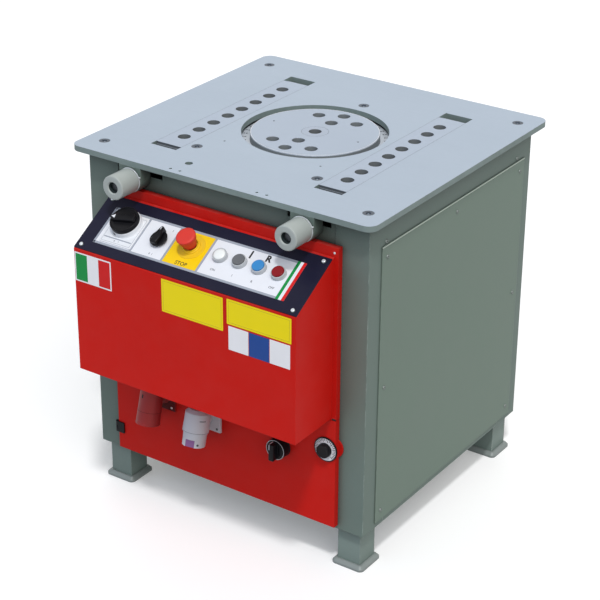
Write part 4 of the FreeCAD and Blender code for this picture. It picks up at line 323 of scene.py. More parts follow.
def rectangle(half_u: float, half_v: float, corner: float, steps: int = 6) -> np.ndarray:
    """A closed rectangle with round corners, anticlockwise, centred on the origin."""
    spots = [(half_u, -half_v), (half_u, half_v), (-half_u, half_v), (-half_u, -half_v)]
    return rounded([(u, v, corner) for u, v in spots], steps)


def outward(outline: np.ndarray) -> np.ndarray:
    """Normals of a closed outline: the chord between a point's neighbours, turned a quarter clockwise."""
    along = np.roll(outline, -1, axis=0) - np.roll(outline, 1, axis=0)
    return unit(np.stack([along[:, 1], -along[:, 0]], -1))


def edge_levels(low: float, high: float, edge: float, steps: int = 4) -> np.ndarray:
    """Levels of a form with a rounded upper edge, as rows of (inset, height).

    The edge is a quarter circle: inset = edge (1 - cos a), height = high - edge + edge sin a.

    Args:
        low: height of the foot.
        high: height of the top.
        edge: radius of the edge.
        steps: how many spans the edge has.

    Returns:
        The levels, from the foot up.
    """
    angle = np.linspace(0, math.pi / 2, steps + 1)
    arc = np.stack([edge * (1 - np.cos(angle)), high - edge + edge * np.sin(angle)], -1)
    return np.concatenate([[[0.0, low]], arc])


def loft(outline: np.ndarray, levels: np.ndarray) -> Shape:
    """A closed form: the outline repeated at each level, moved inwards along its own normals by the inset.

    Point = outline - inset * normal, at the level's height; the first and last levels are closed towards the
    outline's middle.

    Args:
        outline: rows of (u, v), anticlockwise.
        levels: rows of (inset, height).

    Returns:
        The form.
    """
    normal, middle = outward(outline), 0 * outline + outline.mean(0)
    rows = [(outline - inset * normal, height) for inset, height in levels]
    rows = [(middle, levels[0, 1]), *rows, (middle, levels[-1, 1])]
    return grid(np.stack([np.insert(line, 2, height, axis=1) for line, height in rows]), wrap_columns=True)


def holed_sheet(us: Pair, vs: Pair, hole: Triple, low: float, thick: float) -> Shape:
    """A flat rectangle with a round hole: rays from the hole's centre run from its rim to the outer edge.

    In direction (cos a, sin a) the edge lies at the smaller of the distances to the two sides it faces.

    Args:
        us: left and right edge.
        vs: lower and upper edge.
        hole: centre u, centre v and radius.
        low: height of the underside.
        thick: thickness of the sheet.

    Returns:
        The sheet.
    """
    u, v, radius = hole
    corners = [math.atan2(b - v, a - u) for a in us for b in vs]
    angle = np.unique(np.concatenate([np.linspace(-math.pi, math.pi, 96, endpoint=False), corners]))
    way = np.stack([np.cos(angle), np.sin(angle)], -1)
    side_u = np.where(way[:, 0] > 0, us[1] - u, us[0] - u)
    side_v = np.where(way[:, 1] > 0, vs[1] - v, vs[0] - v)
    with np.errstate(divide="ignore", invalid="ignore"):
        reach = np.minimum(np.abs(side_u / way[:, 0]), np.abs(side_v / way[:, 1]))
    return wall(way * radius + (u, v), way * reach[:, None] + (u, v), low, low + thick)


def plain_sheet(us: Pair, vs: Pair, low: float, thick: float, corner: float = 0.5) -> Shape:
    """A flat rectangle with round corners between two edges each way."""
    outline = rectangle((us[1] - us[0]) / 2, (vs[1] - vs[0]) / 2, corner, 3)
    return loft(outline, np.array([[0.0, low], [0.0, low + thick]])).moved(sum(us) / 2, sum(vs) / 2)


def band(outline: np.ndarray, width: float, low: float, thick: float) -> Shape:
    """A flat strip of even width that follows a closed line inwards, with its section square to the line."""
    return wall(outline - width * outward(outline), outline, low, low + thick)


def lettering(words: str, high: float, thick: float, bold: float = 0.0) -> Shape:
    """Flat letters, centred on the origin.

    Args:
        words: what they say.
        high: height of a capital, about.
        thick: thickness.
        bold: widening of the strokes, as a share of the height.

    Returns:
        The letters as triangles, each with its last corner twice.
    """
    curve = bpy.data.curves.new("letters", "FONT")
    curve.body = words
    curve.size = high * 1.4
    curve.extrude = thick / 2
    curve.offset = bold * high
    curve.align_x = "CENTER"
    curve.align_y = "CENTER"
    curve.resolution_u = 3
    carrier = bpy.data.objects.new("letters", curve)
    mesh = bpy.data.meshes.new_from_object(carrier)
    bpy.data.objects.remove(carrier)
    mesh.calc_loop_triangles()
    points = np.empty(len(mesh.vertices) * 3)
    mesh.vertices.foreach_get("co", points)
    corners = np.empty(len(mesh.loop_triangles) * 3, int)
    mesh.loop_triangles.foreach_get("vertices", corners)
    triangles = corners.reshape(-1, 3)
    bpy.data.meshes.remove(mesh)
    return Shape(points.reshape(-1, 3), np.concatenate([triangles, triangles[:, 2:]], -1))


def piece_mesh(name: str, shape: Shape, seat: Seat) -> bpy.types.Mesh:
    """Make a mesh of a shape on a seat, with closed seams and poles and faces that point outwards.

    Args:
        name: the mesh's name.
        shape: the local shape.
        seat: where it lies.

    Returns:
        The finished mesh.
    """
    mesh = bpy.data.meshes.new(name)
    faces = [list(dict.fromkeys(face)) for face in shape.faces.tolist()]
    mesh.from_pydata(seat.lay(shape.points).tolist(), [], faces)
    work = bmesh.new()
    work.from_mesh(mesh)
    bmesh.ops.remove_doubles(work, verts=work.verts, dist=1e-6)
    bmesh.ops.recalc_face_normals(work, faces=work.faces)
    work.to_mesh(mesh)
    work.free()
    mesh.shade_smooth()
    mesh.set_sharp_from_angle(angle=math.radians(SHARP))
    return mesh


def placed(name: str, data: bpy.types.ID) -> bpy.types.Object:
    """Put something into the scene.

    Args:
        name: the object's name.
        data: its mesh, lamp or camera.

    Returns:
        The new object.
    """
    made = bpy.data.objects.new(name, data)
    bpy.context.scene.collection.objects.link(made)
    return made


# Shader graphs


def linear(tone: Tone, factor: float = 1.0) -> Quad:
    """An 8-bit screen colour as a linear one, made lighter or darker by a factor."""
    values = [(c / 255 / 12.92) if c <= 10 else ((c / 255 + 0.055) / 1.055) ** 2.4 for c in tone]
    return tuple(min(1.0, value * factor) for value in values) + (1.0,)


class Graph:
    """A short way to build a node tree: adds nodes and feeds them sockets or plain values."""

    def __init__(self, tree: bpy.types.NodeTree) -> None:
        """Start on a tree."""
        self.tree = tree

    def feed(self, target: Socket, value: object) -> None:
        """Wire a socket into an input, or set the input to a plain value.

        Args:
            target: the input.
            value: a socket or a plain value.
        """
        if isinstance(value, Socket):
            self.tree.links.new(value, target)
        else:
            target.default_value = value

    def add(self, kind: str, values: Inputs | None = None, **settings: object) -> bpy.types.Node:
        """Add one node.

        Args:
            kind: the node's type, without the word ShaderNode.
            values: input names or numbers, each with a socket or a plain value.
            settings: properties of the node.

        Returns:
            The new node.
        """
        made = self.tree.nodes.new(kind if kind.startswith("NodeGroup") else "ShaderNode" + kind)
        for key, value in settings.items():
            setattr(made, key, value)
        for socket, value in (values or {}).items():
            self.feed(made.inputs[socket], value)
        return made

    def maths(self, operation: str, first: object, second: object = 0.0, clamp: bool = False) -> Socket:
        """Work something out of two sockets or numbers; clamp keeps the result between 0 and 1."""
        return self.add("Math", {0: first, 1: second}, operation=operation, use_clamp=clamp).outputs[0]

    def times(self, first: object, second: object, clamp: bool = False) -> Socket:
        """Multiply two sockets or numbers."""
        return self.maths("MULTIPLY", first, second, clamp)

    def span(self, source: Socket, ends: Quad) -> Socket:
        """Map a value from the range of the first two numbers to the range of the last two."""
        names = ("Value", "From Min", "From Max", "To Min", "To Max")
        return self.add("MapRange", dict(zip(names, (source, *ends)))).outputs["Result"]

    def blend(self, factor: Socket, first: object, second: object) -> Socket:
        """Mix two colours, each a socket or a tuple, by a factor."""
        return self.add("Mix", {"Factor": factor, 6: first, 7: second}, data_type="RGBA").outputs[2]

    def varied(self, mask: Socket, tone: Tone, spread: float) -> Socket:
        """A tone that goes from darker to lighter, by a share of itself each way, as a mask goes up."""
        return self.blend(mask, linear(tone, 1 - spread), linear(tone, 1 + spread))

    def parts(self, vector: Socket) -> list[Socket]:
        """The x, y and z of a vector."""
        return list(self.add("SeparateXYZ", {0: vector}).outputs)

    def bump(self, strength: float, distance: float, height: Socket, normal: Socket) -> Socket:
        """A normal that is tipped by a height."""
        values = {"Strength": strength, "Distance": distance, "Height": height, "Normal": normal}
        return self.add("Bump", values).outputs["Normal"]

    def noise(self, scale: object, detail: float, stretch: Triple = (1, 1, 1)) -> Socket:
        """Noise on Object coordinates, stretched each way.

        Args:
            scale: a socket or a number.
            detail: how many finer layers it has.
            stretch: factor in x, y and z.

        Returns:
            The noise, about 0.5 in the middle.
        """
        place = self.add("TexCoord").outputs["Object"]
        mapped = self.add("Mapping", {"Vector": place, "Scale": stretch}).outputs["Vector"]
        values = {"Vector": mapped, "Scale": scale, "Detail": detail, "Roughness": 0.6}
        return self.add("TexNoise", values).outputs["Fac"]


class Groups:
    """The shader groups, each built once and shared by the finishes."""

    made: dict[str, bpy.types.NodeTree] = {}

    @classmethod
    def build(cls) -> None:
        """Build every group."""
        for work in (cls.edges, cls.clouds, cls.skin, cls.ground, cls.turned, cls.dust, cls.crevices):
            work()

    @classmethod
    def use(cls, graph: Graph, name: str, **values: float) -> bpy.types.NodeOutputs:
        """Place a group in a material's graph, with its input values; gives its outputs."""
        return graph.add("Group", values, node_tree=cls.made[name]).outputs

    @classmethod
    def start(
        cls, name: str, outputs: str, **inputs: float
    ) -> tuple[Graph, bpy.types.NodeOutputs, bpy.types.NodeInputs]:
        """Make an empty group.

        Args:
            name: the group's name.
            outputs: the names of its outputs; one called Normal is a vector, the others are numbers.
            inputs: its inputs with their defaults.

        Returns:
            The graph, what is given to it, and what it has to be fed.
        """
        tree = bpy.data.node_groups.new(name, "ShaderNodeTree")
        for label, default in inputs.items():
            socket = tree.interface.new_socket(label, in_out="INPUT", socket_type="NodeSocketFloat")
            socket.default_value = default
        for label in outputs.split():
            kind = "NodeSocketVector" if label == "Normal" else "NodeSocketFloat"
            tree.interface.new_socket(label, in_out="OUTPUT", socket_type=kind)
        cls.made[name] = tree
        graph = Graph(tree)
        return graph, graph.add("NodeGroupInput").outputs, graph.add("NodeGroupOutput").inputs

    @classmethod
    def edges(cls) -> None:
        """Soft edges: a normal rounded over a radius, and a mask of the edges, broken up by noise, where the
        finishes lighten the edges both as wear and as a painted highlight.
        """
        graph, given, out = cls.start("soft_edges", "Wear Normal", Radius=0.0008, Amount=0.5, Breakup=60.0)
        bevel = graph.add("Bevel", {"Radius": given["Radius"]}, samples=4).outputs["Normal"]
        surface = graph.add("NewGeometry").outputs["Normal"]
        dot = graph.add("VectorMath", {0: bevel, 1: surface}, operation="DOT_PRODUCT").outputs["Value"]
        edge = graph.span(dot, (0.985, 0.86, 0.0, 1.0))
        patchy = graph.span(graph.noise(given["Breakup"], 3.0), (0.42, 0.62, 0.15, 1.0))
        graph.feed(out["Wear"], graph.times(graph.times(edge, patchy), given["Amount"], clamp=True))
        graph.feed(out["Normal"], bevel)

    @classmethod
    def clouds(cls) -> None:
        """Slow uneven tone: large soft clouds with a little fine grain on them."""
        graph, given, out = cls.start("clouds", "Tone", Scale=4.0, Fine=90.0)
        large = graph.span(graph.noise(given["Scale"], 2.0), (0.3, 0.7, 0.0, 1.0))
        small = graph.span(graph.noise(given["Fine"], 4.0), (0.3, 0.7, 0.0, 1.0))
        soft, fine = graph.times(large, 0.7), graph.times(small, 0.3)
        graph.feed(out["Tone"], graph.maths("ADD", soft, fine, clamp=True))

    @classmethod
    def skin(cls) -> None:
        """The skin of sprayed paint or moulded plastic: a fine ripple, as height."""
        graph, given, out = cls.start("skin", "Height", Scale=700.0, Fine=2600.0)
        ripple, grit = graph.noise(given["Scale"], 1.0), graph.noise(given["Fine"], 2.0)
        graph.feed(out["Height"], graph.maths("ADD", ripple, graph.times(grit, 0.35)))

    @classmethod
    def ground(cls) -> None:
        """Marks of grinding: long fine scratches one way and a few the other way."""
        graph, given, out = cls.start("ground_marks", "Marks", Scale=12.0, Cross=0.4)
        first = graph.noise(given["Scale"], 5.0, (1.2, 60.0, 10.0))
        crossed = graph.times(graph.noise(given["Scale"], 4.0, (70.0, 2.0, 10.0)), given["Cross"])
        graph.feed(out["Marks"], graph.span(graph.maths("ADD", first, crossed), (0.45, 1.0, 0.0, 1.0)))

    @classmethod
    def turned(cls) -> None:
        """Marks of turning: fine rings about the disc's axis, noise read along the distance from it."""
        low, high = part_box("bending_disc")
        graph, given, out = cls.start("turned_marks", "Marks", Scale=900.0)
        x, y, _ = graph.parts(graph.add("TexCoord").outputs["Object"])
        centre = ((low.x + high.x) / 2, (low.y + high.y) / 2)
        away = [graph.maths("SUBTRACT", value, axis) for value, axis in zip((x, y), centre)]
        radius = graph.maths("SQRT", graph.maths("ADD", *[graph.times(value, value) for value in away]))
        ring = graph.add("CombineXYZ", {0: radius}).outputs[0]
        values = {"Vector": ring, "Scale": given["Scale"], "Detail": 3.0, "Roughness": 0.7}
        graph.feed(out["Marks"], graph.add("TexNoise", values).outputs["Fac"])

    @classmethod
    def dust(cls) -> None:
        """Dust that has settled: thickest on upward faces, broken up by clouds."""
        graph, given, out = cls.start("dust", "Mask", Amount=0.3)
        upward = graph.span(graph.parts(graph.add("NewGeometry").outputs["Normal"])[2], (0.2, 1.0, 0.15, 1.0))
        clouds = graph.span(graph.noise(22.0, 5.0), (0.35, 0.75, 0.0, 1.0))
        graph.feed(out["Mask"], graph.times(graph.times(upward, clouds), given["Amount"], clamp=True))

    @classmethod
    def crevices(cls) -> None:
        """Painted shade of overhangs and inner corners, from ambient occlusion: 1 in the open, less where
        hemmed in.
        """
        graph, given, out = cls.start("crevices", "Open", Reach=0.06, Amount=0.4)
        cover = graph.add("AmbientOcclusion", {"Distance": given["Reach"]}, samples=6).outputs["AO"]
        closed = graph.times(graph.span(cover, (0.3, 0.95, 1.0, 0.0)), given["Amount"])
        graph.feed(out["Open"], graph.maths("SUBTRACT", 1.0, closed))


# Finishes

SETTLED_DUST: Tone = (176, 172, 164)
FILM_DUST: Tone = (170, 167, 160)
# painted shade: the near-black tone that paint is darkened towards under overhangs and in inner corners
PAINTED_SHADE_TONE: Tone = (14, 15, 15)


@dataclass(frozen=True)
class Finish:
    """What all finishes share: the slot they serve, a tone as an 8-bit screen colour, and their material."""

    prefix: ClassVar[str] = "finish_"
    slot: str
    tone: Tone

    def material(self, name: str) -> bpy.types.Material:
        """Build the material.

        Args:
            name: its name.

        Returns:
            The material.
        """
        made = bpy.data.materials.new(name)
        made.use_nodes = True
        graph = Graph(made.node_tree)
        for socket, value in self.surface(graph).items():
            graph.feed(made.node_tree.nodes["Principled BSDF"].inputs[socket], value)
        return made

    def surface(self, graph: Graph) -> Inputs:
        """What feeds the shader's inputs, worked out in a material's graph."""
        raise NotImplementedError


@dataclass(frozen=True)
class Paint(Finish):
    """Sprayed or powder-coated metal: uneven tone, fine ripple, lighter edges where the coat is thin and as a
    painted highlight, and painted shade under overhangs and in inner corners.
    """

    roughness: float = 0.42
    ripple: float = 0.05
    wear_and_highlight_tone: Tone = (150, 155, 152)
    wear_and_highlight: float = 0.35
    uneven: float = 0.035
    edge: float = 0.0012
    gloss: float = 0.14
    dust: float = 0.1
    grime: float = 0.3

    def surface(self, graph: Graph) -> Inputs:
        """What feeds the shader's inputs.

        Args:
            graph: the material's graph.

        Returns:
            Input names with sockets or plain values.
        """
        tone = Groups.use(graph, "clouds", Scale=5.0, Fine=120.0)["Tone"]
        edges = Groups.use(graph, "soft_edges", Radius=self.edge, Amount=self.wear_and_highlight, Breakup=45.0)
        dust = Groups.use(graph, "dust", Amount=self.dust)["Mask"]
        crevices = Groups.use(graph, "crevices", Reach=0.06, Amount=self.grime)["Open"]
        skin = Groups.use(graph, "skin", Scale=650.0, Fine=2400.0)["Height"]
        # edges lighter, both as wear and as a painted highlight
        wear_and_highlight = graph.blend(edges["Wear"], graph.varied(tone, self.tone, self.uneven), linear(self.wear_and_highlight_tone))
        dusty = graph.blend(dust, wear_and_highlight, linear(SETTLED_DUST))
        return {
            # painted shade: the base colour darkens towards a near-black tone where ambient occlusion finds
            # overhangs and inner corners
            "Base Color": graph.blend(crevices, linear(PAINTED_SHADE_TONE), dusty),
            "Roughness": graph.span(tone, (0, 1, self.roughness - 0.05, self.roughness + 0.06)),
            "Normal": graph.bump(self.ripple, 0.0004, skin, edges["Normal"]),
            "Specular IOR Level": self.gloss,
            "Coat Roughness": 0.12,
        }


class Marks(Enum):
    """How a steel surface was worked: the shader group of its marks."""

    GROUND = "ground_marks"
    TURNED = "turned_marks"


@dataclass(frozen=True)
class Steel(Finish):
    """Bare worked steel: scratches or rings, clouds of oil, brighter edges as wear and as a painted
    highlight; walls of holes are darker.
    """

    roughness: float = 0.38
    metallic: float = 0.6
    marks: Marks = Marks.GROUND
    contrast: float = 0.05
    depth: float = 0.08
    wear_and_highlight: float = 0.5
    edge: float = 0.0008
    gloss: float = 0.3
    wall_tone: Tone | None = None

    def surface(self, graph: Graph) -> Inputs:
        """What feeds the shader's inputs; where a wall tone is set, surfaces that stand upright take it.

        Args:
            graph: the material's graph.

        Returns:
            Input names with sockets or plain values.
        """
        clouds = Groups.use(graph, "clouds", Scale=6.0, Fine=70.0)["Tone"]
        marks = Groups.use(graph, self.marks.value)["Marks"]
        edges = Groups.use(graph, "soft_edges", Radius=self.edge, Amount=self.wear_and_highlight, Breakup=120.0)
        tone = graph.maths("ADD", graph.times(marks, 0.55), graph.times(clouds, 0.45), clamp=True)
        base = graph.varied(tone, self.tone, self.contrast)
        if self.wall_tone:
            up = graph.parts(graph.add("NewGeometry").outputs["True Normal"])[2]
            walls = graph.varied(clouds, self.wall_tone, 0.15)
            base = graph.blend(graph.span(up, (0.4, 0.8, 0.0, 1.0)), walls, base)
        return {
            # edges take a lighter tone, both as wear and as a painted highlight
            "Base Color": graph.blend(edges["Wear"], base, linear(self.tone, 1.3)),
            "Roughness": graph.span(tone, (0, 1, self.roughness + 0.07, self.roughness - 0.06)),
            "Normal": graph.bump(self.depth, 0.0003, marks, edges["Normal"]),
            "Specular IOR Level": self.gloss,
            "Metallic": self.metallic,
        }


@dataclass(frozen=True)
class Plastic(Finish):
    """Moulded plastic, rubber or printed film: fine grit, soft edges, slight shifts of tone and gloss."""

    roughness: float = 0.35
    grit: float = 0.05
    grit_scale: float = 1500.0
    coat: float = 0.0
    edge: float = 0.0006
    uneven: float = 0.04
    dust: float = 0.05
    gloss: float = 0.3

    def surface(self, graph: Graph) -> Inputs:
        """What feeds the shader's inputs.

        Args:
            graph: the material's graph.

        Returns:
            Input names with sockets or plain values.
        """
        tone = Groups.use(graph, "clouds", Scale=18.0, Fine=260.0)["Tone"]
        edges = Groups.use(graph, "soft_edges", Radius=self.edge, Amount=0.18, Breakup=150.0)
        dust = Groups.use(graph, "dust", Amount=self.dust)["Mask"]
        skin = Groups.use(graph, "skin", Scale=self.grit_scale, Fine=self.grit_scale * 2.5)["Height"]
        lighter = tuple(min(255, round(c * 0.8 + 45)) for c in self.tone)
        # edges take a lighter tone, partly as wear, partly as a painted highlight
        base = graph.blend(edges["Wear"], graph.varied(tone, self.tone, self.uneven), linear(lighter))
        return {
            "Base Color": graph.blend(dust, base, linear(FILM_DUST)),
            "Roughness": graph.span(tone, (0, 1, self.roughness - 0.05, self.roughness + 0.08)),
            "Normal": graph.bump(self.grit, 0.0003, skin, edges["Normal"]),
            "Specular IOR Level": self.gloss,
            "Coat Weight": self.coat,
        }


@dataclass(frozen=True)
class Ink(Finish):
    """A printed or moulded colour that the legend and the marks use, as a thin film."""

    prefix: ClassVar[str] = "print_"
    roughness: float = 0.4

    def surface(self, graph: Graph) -> Inputs:
        """What feeds the shader's inputs, as for a plastic film."""
        film = Plastic(self.slot, self.tone, self.roughness, 0.02, 2200.0, uneven=0.02, dust=0.03, gloss=0.18)
        return film.surface(graph)


class Dress(Enum):
    """A choice of finishes."""

    def material(self) -> bpy.types.Material:
        """This finish's material, built at its first use."""
        name = self.value.prefix + self.name.lower()
        return bpy.data.materials.get(name) or self.value.material(name)


class Look(Dress):
    """Every finish of the machine. The CAD nodes take theirs by the record's slot, new pieces by name."""

    TABLE_STEEL = Steel("table_steel", (174, 186, 199), 0.5, 0.12, contrast=0.035, gloss=0.15,
                        wall_tone=(126, 140, 138))
    STRIP_STEEL = Steel("table_steel", (174, 185, 199), 0.5, 0.12, contrast=0.035, gloss=0.15,
                        wall_tone=(116, 121, 124))
    # the disc's wide, strongly lightened edge is mostly a painted highlight along its chamfer
    DISC_STEEL = Steel("disc_steel", (173, 184, 198), 0.46, 0.15, Marks.TURNED, 0.04, wear_and_highlight=1.0, edge=0.0022,
                       gloss=0.15, wall_tone=(130, 136, 140))
    BUSH_STEEL = Steel("bush_steel", (172, 182, 196), 0.46, 0.2, Marks.TURNED, gloss=0.15,
                       wall_tone=(118, 122, 124))
    RING_STEEL = Steel("ring_steel", (196, 203, 212), 0.42, 0.2, Marks.TURNED, 0.06, wall_tone=(70, 74, 78))
    BODY_PAINT = Paint("body_paint", (119, 136, 125), 0.46, wear_and_highlight_tone=(168, 182, 172), wear_and_highlight=0.6, edge=0.0018)
    # painted shade: the frame is darkened strongly under the table's overhang and in inner corners
    FRAME_PAINT = Paint("body_paint", (112, 128, 121), 0.44, wear_and_highlight_tone=(170, 184, 178), wear_and_highlight=1.0, edge=0.0025,
                        grime=0.72)
    # painted highlight: the side panels' folded lips are much lighter than the body paint, as a bright line
    LIP_HIGHLIGHT_PAINT = Paint("body_paint", (190, 203, 192), wear_and_highlight_tone=(190, 200, 194), grime=0.0)
    # legs and frame: strongly lightened corners, both as wear and as a painted highlight along the rounded
    # corners
    LEG_PAINT = Paint("body_paint", (130, 146, 140), wear_and_highlight_tone=(190, 202, 196), wear_and_highlight=1.0, edge=0.003)
    RED_PAINT = Paint("red_paint", (206, 26, 18), 0.4, wear_and_highlight_tone=(220, 66, 54), wear_and_highlight=0.5, gloss=0.1)
    PLATE_PAINT = Paint("plate_paint", (26, 26, 46), 0.38, wear_and_highlight_tone=(84, 86, 100), wear_and_highlight=0.3, uneven=0.01,
                        gloss=0.12, dust=0.01)
    INNER_PAINT = Paint("inner_paint", (122, 126, 130), 0.55)
    SCREW_STEEL = Steel("screw_steel", (118, 126, 122), 0.36, 0.5, contrast=0.1)
    BRIGHT_STEEL = Steel("screw_steel", (214, 218, 222), 0.3, 0.3, contrast=0.06)
    AXLE_STEEL = Steel("axle_steel", (70, 73, 77), 0.4, 0.7, Marks.TURNED, 0.15)
    GEAR_STEEL = Steel("gear_steel", (140, 142, 146), 0.34, 0.85, Marks.TURNED, 0.12)
    HOUSING_IRON = Paint("housing_iron", (88, 92, 94), 0.6, ripple=0.25, wear_and_highlight_tone=(130, 133, 135))
    MOTOR_ALLOY = Paint("motor_alloy", (112, 118, 124), 0.5, ripple=0.2)
    ROLLER_GREY = Plastic("roller_grey", (166, 173, 170), 0.36, 0.1, 700.0, edge=0.0016)
    BELT_RUBBER = Plastic("belt_rubber", (30, 30, 31), 0.75, 0.4)
    FOOT_RUBBER = Plastic("foot_rubber", (133, 141, 139), 0.34, 0.2, edge=0.002)
    BLACK_PLASTIC = Plastic("black_plastic", (16, 16, 20), 0.3, 0.08, edge=0.0008, dust=0.02, gloss=0.12)
    WHITE_PLASTIC = Plastic("white_plastic", (228, 231, 236), 0.3, 0.03, coat=0.2)
    LAMP_WHITE = Plastic("lamp_white", (236, 239, 238), 0.16, 0.02, coat=0.6)
    YELLOW_PLASTIC = Plastic("yellow_plastic", (232, 190, 26), 0.4)
    RED_PLASTIC = Plastic("red_plastic", (205, 36, 30), 0.34, coat=0.15)
    GREY_PLASTIC = Plastic("grey_plastic", (98, 100, 104), 0.4)
    BLUE_PLASTIC = Plastic("blue_plastic", (44, 132, 196), 0.3, coat=0.2)
    BEZEL_GREY = Plastic("bezel_grey", (186, 190, 194), 0.25, 0.02, coat=0.4)
    MAROON_PLASTIC = Plastic("maroon_plastic", (150, 40, 40), 0.45, 0.1)
    LIGHT_PLASTIC = Plastic("light_plastic", (200, 203, 210), 0.42, 0.06)
    VIOLET_PLASTIC = Plastic("violet_plastic", (134, 92, 140), 0.45, 0.08)
    SWITCH_PLASTIC = Plastic("switch_plastic", (84, 87, 92), 0.5)
    DARK_RED_PLASTIC = Plastic("red_plastic", (136, 6, 20), 0.22, coat=0.2, edge=0.001, gloss=0.12, dust=0.01)
    STOP_RED = Plastic("red_plastic", (212, 52, 42), 0.42, gloss=0.25, edge=0.0015)
    DARK_SCREW = Steel("screw_steel", (84, 92, 102), 0.38, 0.5, contrast=0.12, wear_and_highlight=1.0, edge=0.0012)


class Print(Dress):
    """Colours of films, labels and marks, and of painted shade and painted highlight."""

    WHITE = Ink("white_plastic", (230, 232, 238), 0.34)
    # white of stickers, also used as a painted highlight on the disc's rim
    STICKER_AND_HIGHLIGHT = Ink("white_plastic", (245, 245, 248), 0.34)
    GREY = Ink("bezel_grey", (158, 164, 176))
    YELLOW = Ink("yellow_plastic", (246, 204, 14), 0.36)
    LABEL_YELLOW = Ink("yellow_plastic", (250, 228, 20), 0.36)
    GREEN = Ink("blue_plastic", (14, 142, 66), 0.36)
    RED = Ink("red_plastic", (212, 28, 30), 0.36)
    BLUE = Ink("blue_plastic", (32, 74, 148), 0.36)
    BLACK = Ink("black_plastic", (28, 28, 32), 0.5)
    FAINT = Ink("grey_plastic", (98, 102, 110), 0.5)
    # painted shade inside the rollers' mouths
    CAVITY = Ink("axle_steel", (40, 50, 52), 0.6)
    OLIVE = Ink("grey_plastic", (176, 160, 60), 0.5)
    # dark marks, also used as painted shade in the stop ring's holes and on the strips' front ends
    DARK_MARK_AND_SHADE = Ink("axle_steel", (84, 90, 98), 0.6)
    # dark maroon: the inlet's seam, and painted shade over the inlet's flange
    MAROON_SEAM_AND_SHADE = Ink("maroon_plastic", (84, 22, 24), 0.6)
    SEAM = Ink("axle_steel", (130, 138, 150), 0.6)


# Sub-assemblies


@dataclass
class Assembly:
    """Pieces laid out on one seat and carried by one body."""

    seat: Seat
    body: str

    def add(
        self, name: str, shape: Shape, look: Dress, seat: Seat | None = None, body: str = "", node: str = ""
    ) -> None:
        """Make one piece of the machine.

        Args:
            name: the piece's name.
            shape: its local shape.
            look: its finish.
            seat: where it lies, if not on the assembly's own seat.
            body: what carries it, if not the assembly's own body.
            node: the CAD node that it stands for, if any.
        """
        mesh = piece_mesh(name, shape, seat or self.seat)
        piece = placed(name, mesh)
        mesh.materials.append(look.material())
        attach(piece, body or self.body)
        if node:
            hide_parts(node)
        log.info("%s on %s: %d faces", name, body or self.body, len(mesh.polygons))


@dataclass
class OnPlate(Assembly):
    """Pieces on the control plate: its face, the barrels through it and the places of its devices."""

    base: float = 2.5
    deep: float = 22.0
    film: float = 0.25
    stem: float = 8.0
    play: float = 0.3
    switch: Pair = (-185.0, 69.0)
    mode: Pair = (-96.0, 71.0)
    stop: Pair = (-22.0, 78.0)
    stop_ring: float = 29.0
    buttons: Quad = (50.0, 96.0, 142.0, 188.0)
    buttons_v: float = 76.0

    def barrel(self, high: float, edge: float = 0.0) -> Corners:
        """The first corners of a collar: from its bore out and up the barrel to a height."""
        return shaft(self.stem + 0.1, BARREL, self.base - self.deep, high, edge)

    def core(self, high: float) -> Corners:
        """The first corners of a moving piece: its stem up to a height."""
        return shaft(0, self.stem, self.base - self.deep + 6, high)


